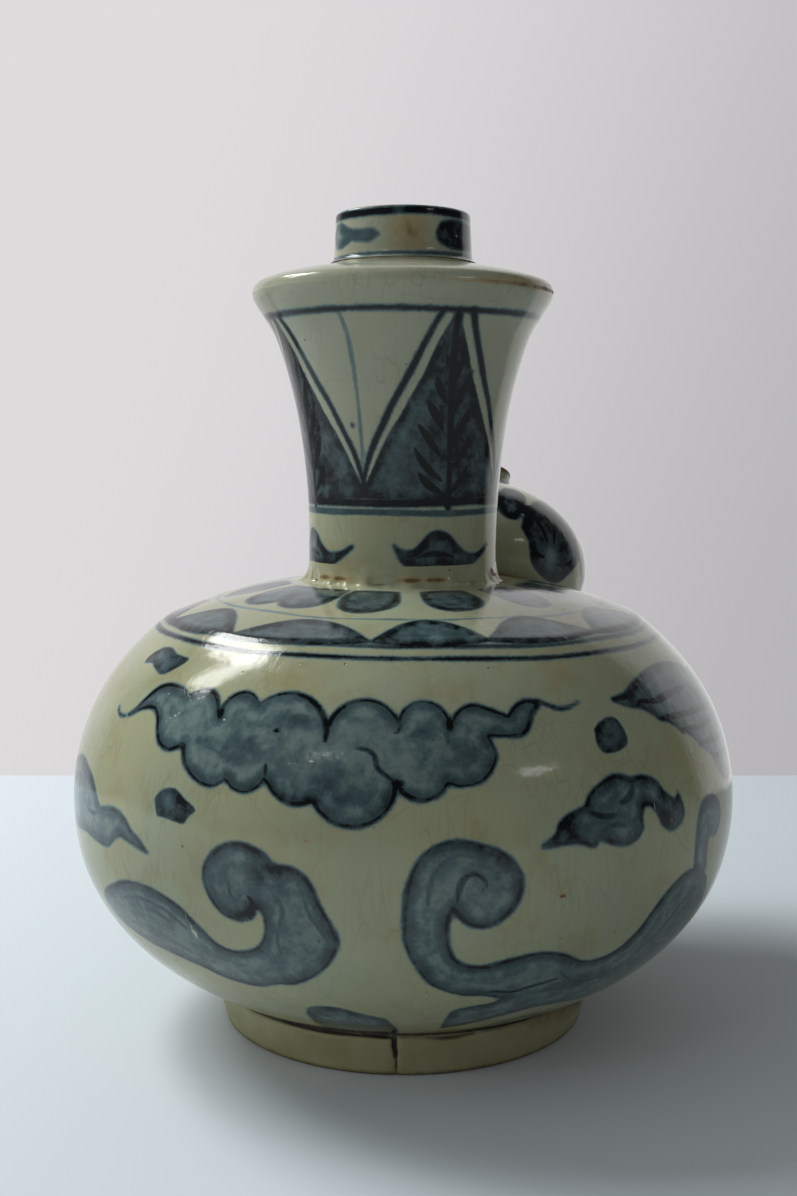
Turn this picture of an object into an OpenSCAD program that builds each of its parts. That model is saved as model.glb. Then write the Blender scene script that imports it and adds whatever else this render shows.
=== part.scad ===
// Kendi: a drinking flask with no handle. A round body stands on a foot ring,
// a flaring neck ends in a flange with a small mouth collar, and a round spout
// with a short nozzle sits on the shoulder. Every piece is joined with slip.
// Millimetres, +Z up. The origin is on the body's axis in the resting plane,
// and the spout points towards +X.

/* [Foot ring] */
// Height of the foot ring
foot_h = 10; // [7:0.2:13]
// Outer radius of the foot ring at its top
foot_top_r = 46; // [41:0.5:51]
// Outer radius of the foot ring at the resting face
foot_rest_r = 43.5; // [39:0.5:47]
// Thickness of the foot ring
foot_wall = 5; // [4:0.25:7]
// Worn edge of the resting face
foot_edge = 0.8; // [0.4:0.1:1.2]

/* [Body] */
// Greatest outer radius of the body
body_r = 78.5; // [70:0.5:86]
// Height of the widest line above the seat on the foot
belly_lift = 44.2; // [38:0.2:50]
// Fullness of the body below the widest line, where 2 is a plain ellipse
lower_power = 2.2; // [2:0.05:2.5]
// Fullness of the body between the widest line and the shoulder's edge
upper_power = 2.1; // [1.95:0.05:2.4]
// Fullness of the hollow in the lower half
bowl_power = 2.6; // [2.2:0.1:3]
// Radius of the soft edge where the shoulder starts
edge_r = 55.5; // [50:0.5:60]
// Height of that edge above the widest line
edge_lift = 42.3; // [38:0.1:45]
// Height of the neck's seat above the widest line
shoulder_rise = 50; // [47:0.5:58]
// Swell of the shoulder's top above a straight slope
shoulder_swell = 1.1; // [0.5:0.1:3]
// Thickness of the body's wall
body_wall = 5; // [4:0.25:6.5]
// Thickness of the body's floor on the axis
floor_t = 6; // [4.5:0.25:8]
// Rise of the underside inside the foot ring
base_rise = 1.5; // [0.5:0.25:2]

/* [Neck] */
// Height of the neck from its foot to the flange
neck_h = 65.8; // [56:0.2:74]
// Outer radius of the straight lower length of the neck
throat_r = 22.9; // [20:0.1:26]
// Length of the straight lower part, under the flare
throat_lift = 22; // [16:0.5:28]
// Thickness of the neck's wall
neck_wall = 4; // [3:0.25:5]

/* [Flange and mouth] */
// Outer radius of the flange
flange_r = 35.4; // [32:0.1:39]
// Rise of the flange's top from its edge to the mouth collar
cap_rise = 5.9; // [5:0.1:8]
// Thickness of the flange's top
cap_wall = 4; // [3:0.25:4.5]
// How far inside the flange's edge its top bends over
cap_edge = 3.4; // [2:0.1:5]
// Outer radius of the mouth collar at its foot
collar_r = 16.4; // [15.4:0.1:19]
// Outer radius of the mouth collar at its lip
lip_r = 15.8; // [15:0.1:17]
// Height of the mouth collar
collar_h = 11.6; // [8:0.2:15]
// Radius of the bore through the mouth
mouth_r = 12.2; // [10:0.1:12.8]
// Rounding of the lip
lip_round = 0.9; // [0.6:0.1:1.2]

/* [Spout] */
// Distance of the bulb's centre inside the widest line
bulb_inset = 12.5; // [9:0.5:16]
// Height of the bulb's centre above the shoulder under it
bulb_lift = 15.2; // [12:0.1:18]
// Lean of the spout away from upright, in degrees
spout_lean = 25; // [15:1:35]
// Radius of the bulb across the spout
bulb_r = 31.2; // [28:0.2:34]
// Half height of the bulb along the spout
bulb_half_h = 23.1; // [21:0.1:26]
// Thickness of the bulb's wall
bulb_wall = 3.5; // [2.5:0.25:4.5]
// Radius of the hole in the shoulder under the bulb
pour_hole_r = 8; // [5:0.25:10]
// Height of the nozzle
nozzle_h = 6.6; // [5.4:0.2:10]
// Outer radius of the nozzle at its foot
nozzle_foot_r = 9; // [8:0.25:11]
// Outer radius of the nozzle at its tip
nozzle_tip_r = 6.8; // [6:0.1:7.8]
// Radius of the bore of the nozzle
nozzle_bore_r = 3.6; // [2.6:0.1:4.2]
// Rounding of the nozzle's tip
nozzle_round = 0.9; // [0.5:0.1:1.1]

/* [Slip joints] */
// Thickness of the slip in a joint
slip_t = 0.8; // [0.5:0.1:1.2]
// Size of the bead round the foot of the neck
neck_bead = 1.9; // [1.2:0.1:2.6]
// Size of the bead round the mouth collar and the nozzle
small_bead = 1; // [0.7:0.1:1.4]
// Size of the bead round the foot of the bulb
bulb_bead = 1.6; // [1:0.1:2.4]
// Ridge that the slip leaves inside the widest line
belly_ridge = 1.6; // [1:0.1:2.4]
// Depth of the open line between the foot ring and the body
foot_open = 0.7; // [0.3:0.1:1.2]
// Bead that the slip leaves proud of the flange's edge
flange_bead = 0.3; // [0.2:0.1:0.6]
// Width of seat left clear outside a bead
seat_clear = 0.3; // [0.2:0.1:0.8]

/* [Hidden] */
$fn = 96;
// Number of steps along each quarter of the body's curves
body_steps = 14;
// Number of steps along each quarter of the bulb's curves
bulb_steps = 10;
// Number of steps along the shoulder's top
shoulder_steps = 8;
// Number of steps along each rounding
round_steps = 6;

// Heights up the axis
seat_z = foot_h + slip_t;
belly_z = seat_z + belly_lift;
shoulder_z = belly_z + shoulder_rise;
neck_z = shoulder_z + slip_t;
throat_z = neck_z + throat_lift;
flange_z = neck_z + neck_h;
cap_z = flange_z + slip_t;
cap_top_z = cap_z + cap_rise;
collar_z = cap_top_z + slip_t;
mouth_z = collar_z + collar_h;

// Body: its seat on the foot and the neck's seat on it
body_seat_r = foot_top_r + seat_clear;
neck_run = neck_h - throat_lift;
neck_flare = flange_r - throat_r;
neck_arc_r = (neck_run * neck_run + neck_flare * neck_flare) / (2 * neck_flare);
neck_arc_x = throat_r + neck_arc_r;
neck_in_r = throat_r - neck_wall;
flange_in_r = neck_arc_x - sqrt(pow(neck_arc_r + neck_wall, 2) - pow(neck_run, 2));
neck_seat_r = throat_r + neck_bead + seat_clear;
lower_b = belly_lift / oval_share(body_seat_r / body_r, lower_power);
upper_b = edge_lift / oval_share(edge_r / body_r, upper_power);
body_in_r = body_r - body_wall;
bowl_b = belly_lift - floor_t - base_rise;
foot_in_r = foot_top_r - foot_wall;

// Flange and mouth
cap_seat_r = collar_r + small_bead + seat_clear;

// Spout: its centre rides on the shoulder
spout_x = body_r - bulb_inset;
spout_z = belly_z + upper_b * oval_share(spout_x / body_r, upper_power) + bulb_lift;
nozzle_seat_r = nozzle_foot_r + small_bead + seat_clear;
nozzle_seat_z = bulb_half_h * oval_share(nozzle_seat_r / bulb_r, 2);
nozzle_z = nozzle_seat_z + slip_t;
nozzle_top_z = nozzle_z + nozzle_h;

// Height of an oval, as a share of its half height, at a share of its radius
function oval_share(share, power) = pow(1 - pow(share, power), 1 / power);

// Points along a quarter of an oval about height zc, from h0 above or below it to radius r1
function oval(a, b, power, h0, r1, zc, way, steps) =
    let (t0 = asin(pow(h0 / b, power / 2)))
    let (t1 = acos(pow(r1 / a, power / 2)))
    [for (i = [0 : steps])
        let (t = t0 + (t1 - t0) * i / steps)
        [a * pow(max(0, cos(t)), 2 / power), zc + way * b * pow(sin(t), 2 / power)]];

// Points along an arc
function arc(cx, cz, r, a0, a1) =
    [for (i = [0 : round_steps])
        let (t = a0 + (a1 - a0) * i / round_steps)
        [cx + r * cos(t), cz + r * sin(t)]];

// Points along a curve that leaves p0 towards p1 and arrives at p2
function bend(p0, p1, p2, steps) =
    [for (i = [0 : steps])
        let (u = i / steps)
        p0 * pow(1 - u, 2) + p1 * 2 * u * (1 - u) + p2 * u * u];

// Points up the upper body from h0 above the widest line to radius r1 at the neck,
// larger all round by grow
function dome(grow, h0, r1) =
    let (a = body_r + grow)
    let (edge = [edge_r + 0.6 * grow, edge_lift + 0.8 * grow])
    let (top = [r1, shoulder_rise + grow])
    let (b = edge[1] / oval_share(edge[0] / a, upper_power))
    let (side = oval(a, b, upper_power, h0, edge[0], belly_z, 1, body_steps))
    let (crown = bend(edge, (edge + top) / 2 + [0, 2 * shoulder_swell], top, shoulder_steps))
    concat(side, [for (i = [1 : shoulder_steps]) crown[i] + [0, belly_z]]);

function flip(list) = [for (i = [len(list) - 1 : -1 : 0]) list[i]];

// Outer form of the shoulder, filled, and larger all round by grow
module shoulder_form(grow) {
    rotate_extrude()
        polygon(concat(
            [[0, belly_z]],
            dome(grow, 0, neck_seat_r),
            [[0, shoulder_z + grow]]));
}

// Full oval of the bulb in its own frame, larger all round by grow
module bulb_form(grow) {
    a = bulb_r + grow;
    b = bulb_half_h + grow;
    rotate_extrude()
        polygon(concat(
            flip(oval(a, b, 2, 0, 0, 0, -1, bulb_steps)),
            [for (p = oval(a, b, 2, 0, 0, 0, 1, bulb_steps)) if (p[1] > 0) p]));
}

// Space above the nozzle's seat, in the bulb's own frame
module above_seat(z) {
    translate([0, 0, z])
        cylinder(r = bulb_r, h = bulb_half_h);
}

// Moves a piece from the spout's own frame to the shoulder
module on_shoulder() {
    translate([spout_x, 0, spout_z])
        rotate([0, spout_lean, 0])
            children();
}

// Section of the neck: a straight strip, then a strip between two arcs about one centre
module neck_section() {
    translate([neck_in_r, neck_z])
        square([neck_wall, throat_lift]);
    intersection() {
        translate([neck_arc_x, throat_z])
            difference() {
                circle(r = neck_arc_r + neck_wall);
                circle(r = neck_arc_r);
            }
        translate([0, throat_z])
            square([neck_arc_x, neck_run]);
    }
}

module foot_ring() {
    color([0.62, 0.58, 0.44])
        rotate_extrude()
            polygon([
                [foot_in_r, foot_h],
                [foot_rest_r - foot_wall, foot_edge],
                [foot_rest_r - foot_wall + foot_edge, 0],
                [foot_rest_r - foot_edge, 0],
                [foot_rest_r, foot_edge],
                [foot_top_r, foot_h]]);
}

module foot_slip() {
    color([0.45, 0.38, 0.26])
        rotate_extrude()
            polygon(concat(
                [[foot_top_r - foot_open, foot_h]],
                [[foot_top_r - foot_open, seat_z]],
                [[foot_in_r, seat_z]],
                [[foot_in_r, foot_h]]));
}

module lower_body() {
    well_r = foot_in_r - seat_clear;
    color([0.66, 0.66, 0.56])
        rotate_extrude()
            polygon(concat(
                oval(body_r, lower_b, lower_power, slip_t / 2, body_seat_r, belly_z, -1, body_steps),
                [for (i = [0 : round_steps])
                    let (u = i / round_steps)
                    [well_r * (1 - u), seat_z + base_rise * (1 - pow(1 - u, 2))]],
                flip(oval(body_in_r, bowl_b, bowl_power, slip_t / 2, 0, belly_z, -1, body_steps))));
}

module belly_slip() {
    color([0.7, 0.66, 0.55])
        rotate_extrude()
            difference() {
                union() {
                    translate([body_in_r - belly_ridge, belly_z - slip_t / 2])
                        square([body_wall + belly_ridge, slip_t]);
                    translate([body_in_r, belly_z])
                        circle(r = belly_ridge);
                }
                translate([body_in_r, belly_z + slip_t / 2])
                    square([body_wall, body_wall]);
                translate([body_in_r, belly_z - slip_t / 2 - body_wall])
                    square([body_wall, body_wall]);
            }
}

module upper_body() {
    color([0.66, 0.66, 0.56])
        difference() {
            rotate_extrude()
                polygon(concat(
                    dome(0, slip_t / 2, neck_seat_r),
                    [[neck_in_r, shoulder_z]],
                    flip(dome(-body_wall, slip_t / 2, neck_in_r))));
            on_shoulder()
                translate([0, 0, -2 * bulb_half_h])
                    cylinder(r = pour_hole_r, h = 2 * bulb_half_h);
        }
}

module neck_slip() {
    color([0.55, 0.46, 0.28])
        rotate_extrude()
            union() {
                translate([neck_in_r, shoulder_z])
                    square([neck_wall, slip_t]);
                difference() {
                    translate([throat_r, shoulder_z])
                        intersection() {
                            circle(r = neck_bead);
                            translate([-neck_bead / 2, 0])
                                square([2 * neck_bead, 2 * neck_bead]);
                        }
                    neck_section();
                }
            }
}

module neck() {
    color([0.64, 0.65, 0.57])
        rotate_extrude()
            neck_section();
}

module flange_slip() {
    color([0.5, 0.48, 0.3])
        rotate_extrude()
            polygon([
                [flange_in_r, flange_z],
                [flange_r, flange_z],
                [flange_r + flange_bead, flange_z + slip_t / 2],
                [flange_r, cap_z],
                [flange_in_r, cap_z]]);
}

module flange_cap() {
    color([0.64, 0.65, 0.57])
        rotate_extrude()
            polygon(concat(
                [[flange_in_r, cap_z]],
                bend([flange_r, cap_z], [flange_r - cap_edge, cap_z + cap_rise / 2],
                     [cap_seat_r, cap_top_z], shoulder_steps),
                [[mouth_r, cap_top_z]],
                [[mouth_r, cap_top_z - cap_wall]]));
}

module collar_slip() {
    color([0.5, 0.48, 0.36])
        rotate_extrude()
            union() {
                translate([mouth_r, cap_top_z])
                    square([collar_r - mouth_r, slip_t]);
                difference() {
                    translate([collar_r, cap_top_z])
                        intersection() {
                            circle(r = small_bead);
                            translate([-small_bead / 2, 0])
                                square([2 * small_bead, 2 * small_bead]);
                        }
                    collar_section();
                }
            }
}

module collar_section() {
    polygon(concat(
        [[mouth_r, collar_z]],
        [[collar_r, collar_z]],
        arc(lip_r - lip_round, mouth_z - lip_round, lip_round, 0, 90),
        arc(mouth_r + lip_round, mouth_z - lip_round, lip_round, 90, 180)));
}

module mouth_collar() {
    color([0.62, 0.6, 0.5])
        rotate_extrude()
            collar_section();
}

module spout_slip() {
    color([0.55, 0.46, 0.28])
        difference() {
            intersection() {
                on_shoulder()
                    bulb_form(bulb_bead);
                shoulder_form(bulb_bead);
            }
            shoulder_form(0);
            on_shoulder()
                bulb_form(0);
        }
}

module spout_bulb() {
    color([0.62, 0.64, 0.58])
        difference() {
            on_shoulder()
                difference() {
                    bulb_form(0);
                    bulb_form(-bulb_wall);
                    above_seat(nozzle_seat_z);
                    cylinder(r = nozzle_bore_r, h = 2 * bulb_half_h);
                }
            shoulder_form(0);
        }
}

module nozzle_section() {
    polygon(concat(
        [[nozzle_bore_r, nozzle_z]],
        bend([nozzle_foot_r, nozzle_z],
             [nozzle_tip_r, nozzle_z + nozzle_h / 3],
             [nozzle_tip_r, nozzle_top_z - 2 * nozzle_round], round_steps),
        arc(nozzle_tip_r - nozzle_round, nozzle_top_z - nozzle_round, nozzle_round, 0, 90),
        arc(nozzle_bore_r + nozzle_round, nozzle_top_z - nozzle_round, nozzle_round, 90, 180)));
}

module nozzle_slip() {
    color([0.55, 0.46, 0.28])
        on_shoulder()
            rotate_extrude()
                union() {
                    translate([nozzle_bore_r, nozzle_seat_z])
                        square([nozzle_foot_r - nozzle_bore_r, slip_t]);
                    difference() {
                        translate([nozzle_foot_r, nozzle_seat_z])
                            intersection() {
                                circle(r = small_bead);
                                translate([-small_bead / 2, 0])
                                    square([2 * small_bead, 2 * small_bead]);
                            }
                        nozzle_section();
                    }
                }
}

module spout_nozzle() {
    color([0.6, 0.55, 0.4])
        on_shoulder()
            rotate_extrude()
                nozzle_section();
}

foot_ring();
foot_slip();
lower_body();
belly_slip();
upper_body();
neck_slip();
neck();
flange_slip();
flange_cap();
collar_slip();
mouth_collar();
spout_slip();
spout_bulb();
nozzle_slip();
spout_nozzle();
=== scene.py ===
"""A blue-and-white kendi: thrown pieces luted with slip, painted in cobalt under a crackled glaze."""

import logging
import math
from dataclasses import dataclass, field
from enum import Enum
from typing import Any, Iterable, Iterator, Sequence

import bpy
import numpy as np
from mathutils import Matrix, Vector


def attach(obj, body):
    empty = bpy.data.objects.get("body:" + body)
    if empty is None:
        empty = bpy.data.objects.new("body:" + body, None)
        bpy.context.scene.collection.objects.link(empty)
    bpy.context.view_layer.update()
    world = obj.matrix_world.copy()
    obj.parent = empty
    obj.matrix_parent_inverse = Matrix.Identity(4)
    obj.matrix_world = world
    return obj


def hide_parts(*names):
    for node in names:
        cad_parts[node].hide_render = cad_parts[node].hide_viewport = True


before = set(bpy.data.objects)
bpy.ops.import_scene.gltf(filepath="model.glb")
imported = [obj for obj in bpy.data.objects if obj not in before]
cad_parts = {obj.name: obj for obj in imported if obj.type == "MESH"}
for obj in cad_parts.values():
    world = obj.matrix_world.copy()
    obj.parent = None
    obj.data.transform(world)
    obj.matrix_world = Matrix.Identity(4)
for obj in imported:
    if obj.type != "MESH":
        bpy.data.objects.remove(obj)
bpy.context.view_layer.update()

Array = np.ndarray
Point = tuple[float, float]
Triple = tuple[float, float, float]
# A place in degrees round the pot and millimetres along its wall, spread both ways, and strength
Spot = tuple[Point, float, float, float]

LOG = logging.getLogger("kendi")
MM = 0.001

# The view turns the spout away to the back: angle between the view and the object's own axes
VIEW_TURN = -71.7
# Painting angles count from the side that faces the viewer, to the right
FRONT = 161.7
CAMERA_PLACE = (-1.1, -347.5, 136.0)
CAMERA_TILT = 5.85
CAMERA_LENS = 43.65


def srgb(red: float, green: float, blue: float) -> Triple:
    """Gives a colour of 0 to 255 as linear light.

    Args:
        red: Red, 0 to 255.
        green: Green, 0 to 255.
        blue: Blue, 0 to 255.

    Returns:
        The three linear values.
    """
    parts = [c / 255 for c in (red, green, blue)]
    linear = [c / 12.92 if c <= 0.04045 else ((c + 0.055) / 1.055) ** 2.4 for c in parts]
    return (linear[0], linear[1], linear[2])


def from_view(place: Triple) -> Triple:
    """Turns a place seen from the camera's side into the object's own axes.

    Args:
        place: A place with x to the right and y away from the camera.

    Returns:
        The same place in the object's axes.
    """
    turn = math.radians(VIEW_TURN)
    x = place[0] * math.cos(turn) - place[1] * math.sin(turn)
    y = place[0] * math.sin(turn) + place[1] * math.cos(turn)
    return (x, y, place[2])


class Slot(Enum):
    """Material slots of the record."""

    GLAZE = "glaze"
    FOOT_CLAY = "foot_clay"
    SLIP = "slip"


# Curves of the thrown forms, in millimetres


def oval_share(share: float, power: float) -> float:
    """Gives the height of an oval, as a share of its half height, at a share of its radius."""
    return (1 - share**power) ** (1 / power)


def oval(
    radius: float, half: float, power: float, start: float, end_r: float, count: int = 200
) -> Array:
    """Follows a quarter of an oval up from a height to a radius.

    Args:
        radius: Greatest radius.
        half: Half height.
        power: Fullness, where 2 is a plain ellipse.
        start: Height where the curve starts.
        end_r: Radius where it ends.
        count: Number of points.

    Returns:
        Rows of radius and height above the oval's centre.
    """
    low = math.asin((start / half) ** (power / 2))
    high = math.acos((end_r / radius) ** (power / 2))
    turn = np.linspace(low, high, count)
    across = np.clip(np.cos(turn), 0, 1) ** (2 / power)
    return np.column_stack([radius * across, half * np.sin(turn) ** (2 / power)])


def bend(start: Point, pull: Point, end: Point, count: int = 80) -> Array:
    """Follows a curve that leaves start towards pull and arrives at end.

    Args:
        start: First point.
        pull: Point that the curve heads for.
        end: Last point.
        count: Number of points.

    Returns:
        Rows of radius and height.
    """
    u = np.linspace(0, 1, count)[:, None]
    return np.array(start) * (1 - u) ** 2 + np.array(pull) * 2 * u * (1 - u) + np.array(end) * u**2


def arc(centre: Point, radius: float, start: float, end: float, count: int = 9) -> Array:
    """Follows an arc from one angle to another, in degrees.

    Args:
        centre: Centre of the arc.
        radius: Its radius.
        start: First angle.
        end: Last angle.
        count: Number of points.

    Returns:
        Rows of radius and height.
    """
    turn = np.radians(np.linspace(start, end, count))
    return np.column_stack([centre[0] + radius * np.cos(turn), centre[1] + radius * np.sin(turn)])


def rim(outer_r: float, inner_r: float, top: float, round_r: float) -> tuple[Array, Array]:
    """Rounds a rim over from its outer to its inner side.

    Args:
        outer_r: Radius of the outer side.
        inner_r: Radius of the inner side.
        top: Height of the rim.
        round_r: Radius of both roundings.

    Returns:
        Rows of the outer and of the inner rounding.
    """
    lip = arc((outer_r - round_r, top - round_r), round_r, 0, 90, 6)
    back = arc((inner_r + round_r, top - round_r), round_r, 90, 180, 6)
    return lip, back


def run_of(line: Array) -> Array:
    """Gives the length along a line at each of its points."""
    return np.concatenate([[0.0], np.cumsum(np.hypot(*np.diff(line, axis=0).T))])


def even(line: Sequence[Point] | Array, step: float) -> Array:
    """Spaces points evenly along a line, its two ends kept.

    Args:
        line: Rows of radius and height.
        step: Distance between points.

    Returns:
        The evenly spaced rows.
    """
    rows = np.asarray(line, dtype=float)
    run = run_of(rows)
    count = max(2, int(math.ceil(run[-1] / step)) + 1)
    marks = np.linspace(0, run[-1], count)
    return np.column_stack([np.interp(marks, run, rows[:, 0]), np.interp(marks, run, rows[:, 1])])


def section(*lines: Sequence[Point] | Array) -> Array:
    """Joins lines end to end into one section, with repeated points left out.

    Args:
        lines: Lines in the order of the outline.

    Returns:
        Rows of radius and height.
    """
    rows = np.vstack([np.asarray(line, dtype=float) for line in lines])
    keep = np.concatenate([[True], np.hypot(*np.diff(rows, axis=0).T) > 1e-4])
    return rows[keep]


@dataclass(frozen=True)
class BodyForm:
    """Outer and inner curves of the body."""

    radius: float = 78.5
    belly_z: float = 55.0
    seat_r: float = 46.3
    seat_z: float = 10.8
    well_r: float = 40.7
    base_rise: float = 1.5
    wall: float = 5.0
    floor_t: float = 6.0
    edge_r: float = 55.5
    edge_lift: float = 42.3
    rise: float = 50.0
    neck_seat_r: float = 25.1
    neck_in_r: float = 18.9
    swell: float = 1.1
    lower_power: float = 2.2
    upper_power: float = 2.1
    bowl_power: float = 2.6

    def below(self) -> Array:
        """Follows the outer wall from the widest line down to the foot.

        Returns:
            Rows of radius and height.
        """
        lift = self.belly_z - self.seat_z
        half = lift / oval_share(self.seat_r / self.radius, self.lower_power)
        line = oval(self.radius, half, self.lower_power, 0, self.seat_r)
        return line * (1, -1) + (0, self.belly_z)

    def above(self, grow: float = 0.0, end_r: float | None = None) -> Array:
        """Follows the wall from the widest line up to the neck.

        Args:
            grow: Distance outside the outer wall, or inside it where negative.
            end_r: Radius where the curve ends, or None for the neck's seat.

        Returns:
            Rows of radius and height.
        """
        radius = self.radius + grow
        edge = (self.edge_r + 0.6 * grow, self.edge_lift + 0.8 * grow)
        top = (end_r or self.neck_seat_r, self.rise + grow)
        half = edge[1] / oval_share(edge[0] / radius, self.upper_power)
        side = oval(radius, half, self.upper_power, 0, edge[0])
        pull = ((edge[0] + top[0]) / 2, (edge[1] + top[1]) / 2 + 2 * self.swell)
        return section(side, bend(edge, pull, top)) + (0, self.belly_z)

    def bowl(self) -> Array:
        """Follows the hollow of the lower half from its floor up to the widest line.

        Returns:
            Rows of radius and height.
        """
        half = self.belly_z - self.seat_z - self.floor_t - self.base_rise
        line = oval(self.radius - self.wall, half, self.bowl_power, 0, 0)
        return (line * (1, -1) + (0, self.belly_z))[::-1]

    def well(self) -> Array:
        """Follows the underside from the axis out to the foot's seat."""
        u = np.linspace(1, 0, 30)
        return np.column_stack([self.well_r * (1 - u), self.seat_z + self.base_rise * (1 - (1 - u) ** 2)])


BODY = BodyForm()


@dataclass(frozen=True)
class SpoutFrame:
    """Place and lean of the spout on the shoulder."""

    x: float = 66.0
    z: float = 103.109
    lean: float = 25.0

    def seat(self, piece: bpy.types.Object) -> None:
        """Moves a piece from the spout's own frame to the shoulder, and keeps its place in its mesh.

        Args:
            piece: The piece.
        """
        Wheel.only(piece)
        piece.rotation_euler = (0, math.radians(self.lean), 0)
        piece.location = (self.x * MM, 0, self.z * MM)
        bpy.ops.object.transform_apply(location=True, rotation=True, scale=True)

    def local(self, points: Array) -> Array:
        """Gives points of the object in the spout's own frame.

        Args:
            points: Rows of x, y and z in millimetres.

        Returns:
            Rows in the spout's frame.
        """
        lean = math.radians(self.lean)
        away = points - (self.x, 0, self.z)
        across = away[:, 0] * math.cos(lean) - away[:, 2] * math.sin(lean)
        along = away[:, 0] * math.sin(lean) + away[:, 2] * math.cos(lean)
        return np.column_stack([across, away[:, 1], along])


SPOUT = SpoutFrame()


class Wheel:
    """The potter's wheel: draws a section, turns it, and trims the turned piece."""

    SMOOTH_ANGLE = 40.0

    @staticmethod
    def only(piece: bpy.types.Object) -> None:
        """Selects one piece alone and makes it active.

        Args:
            piece: The piece.
        """
        bpy.ops.object.select_all(action="DESELECT")
        piece.select_set(True)
        bpy.context.view_layer.objects.active = piece

    @classmethod
    def turn(cls, name: str, rows: Array, steps: int) -> bpy.types.Object:
        """Draws a section point by point and turns it round the axis.

        Args:
            name: Name of the piece.
            rows: Rows of radius and height in millimetres; a closed outline ends where it starts.
            steps: Number of steps of the turn.

        Returns:
            The turned piece, closed and facing outwards.
        """
        bpy.ops.object.select_all(action="DESELECT")
        bpy.ops.mesh.primitive_plane_add(size=MM)
        piece = bpy.context.active_object
        piece.name = name
        piece.data.name = name
        bpy.ops.object.mode_set(mode="EDIT")
        bpy.ops.mesh.select_all(action="SELECT")
        bpy.ops.mesh.merge(type="CENTER")
        bpy.ops.transform.translate(value=(rows[0][0] * MM, 0, rows[0][1] * MM))
        for here, there in zip(rows[:-1], rows[1:]):
            move = ((there[0] - here[0]) * MM, 0, (there[1] - here[1]) * MM)
            bpy.ops.mesh.extrude_region_move(TRANSFORM_OT_translate={"value": move})
        bpy.ops.mesh.select_all(action="SELECT")
        bpy.ops.mesh.spin(steps=steps, angle=math.tau, center=(0, 0, 0), axis=(0, 0, 1), use_auto_merge=True)
        bpy.ops.mesh.select_all(action="SELECT")
        bpy.ops.mesh.remove_doubles(threshold=2e-6)
        bpy.ops.mesh.normals_make_consistent(inside=False)
        bpy.ops.object.mode_set(mode="OBJECT")
        return piece

    @classmethod
    def cut(cls, piece: bpy.types.Object, tool: bpy.types.Object) -> None:
        """Cuts a tool's form out of a piece and throws the tool away.

        Args:
            piece: Piece to cut.
            tool: Closed form that is taken out.
        """
        cls.only(piece)
        trim = piece.modifiers.new("trim", "BOOLEAN")
        trim.operation = "DIFFERENCE"
        trim.solver = "EXACT"
        trim.object = tool
        bpy.ops.object.modifier_apply(modifier=trim.name)
        bpy.data.objects.remove(tool, do_unlink=True)

    @classmethod
    def smooth(cls, piece: bpy.types.Object) -> None:
        """Shades a piece smooth, with its sharp edges kept."""
        cls.only(piece)
        bpy.ops.object.shade_smooth_by_angle(angle=math.radians(cls.SMOOTH_ANGLE))


def places(piece: bpy.types.Object) -> Array:
    """Gives a mesh's points in millimetres, as rows of x, y and z.

    Args:
        piece: The piece.

    Returns:
        The rows.
    """
    flat = np.empty(len(piece.data.vertices) * 3, dtype=np.float32)
    piece.data.vertices.foreach_get("co", flat)
    return flat.reshape(-1, 3).astype(float) / MM


def put(piece: bpy.types.Object, points: Array) -> None:
    """Moves a mesh's points.

    Args:
        piece: Piece whose points move.
        points: Rows of x, y and z in millimetres.
    """
    piece.data.vertices.foreach_set("co", (points * MM).astype(np.float32).ravel())
    piece.data.update()


def off_axis(points: Array) -> Array:
    """Gives each point's distance from the axis."""
    return np.hypot(points[:, 0], points[:, 1])


def turn_of(points: Array) -> Array:
    """Gives each point's angle round the axis in degrees."""
    return np.degrees(np.arctan2(points[:, 1], points[:, 0]))


def painting_angle(points: Array) -> Array:
    """Gives each point's painting angle in degrees, 0 facing the viewer and growing to the right."""
    return (turn_of(points) + FRONT + 180) % 360 - 180


def ramp(values: Array, start: float, span: float) -> Array:
    """Rises from 0 at a start to 1 a span further on, and stays there."""
    return np.clip((values - start) / span, 0, 1)


def drawn_in(points: Array, inward: Array) -> Array:
    """Moves points towards the axis.

    Args:
        points: Rows of x, y and z in millimetres.
        inward: How far each of them moves.

    Returns:
        The moved rows.
    """
    scale = 1 - inward / np.maximum(off_axis(points), 1)
    return points * np.column_stack([scale, scale, np.ones_like(scale)])


# Unevenness of the hand in millimetres: slow swell, throwing rings, and long and short bob of the shoulder
SWELL = 0.12
THROWING = 0.04
LONG_BOB = 0.2
SHORT_BOB = 0.1


def swell_by_hand(points: Array) -> Array:
    """Gives thrown pieces the small unevenness of the hand, the same wherever two pieces meet.

    Args:
        points: Rows of x, y and z in millimetres.

    Returns:
        The moved rows, never wider than the true form at the widest line.
    """
    turn = np.radians(painting_angle(points))
    radius = off_axis(points)
    height = points[:, 2]
    free = ramp(radius, 26, 14) * ramp(height, 12, 20)
    slow = 1 + 0.6 * np.cos(2 * turn + 0.8) + 0.4 * np.cos(3 * turn + height / 19)
    throwing = 1 + np.sin(height / 3.4 + turn + 0.6 * np.sin(4 * turn))
    moved = drawn_in(points, free * (SWELL * slow + THROWING * throwing))
    bob = LONG_BOB * np.sin(5 * turn + 1.3 + radius / 9) + SHORT_BOB * np.sin(11 * turn + radius / 5)
    moved[:, 2] += free * ramp(height, 88, 8) * bob
    return moved


# Brushwork


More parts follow.
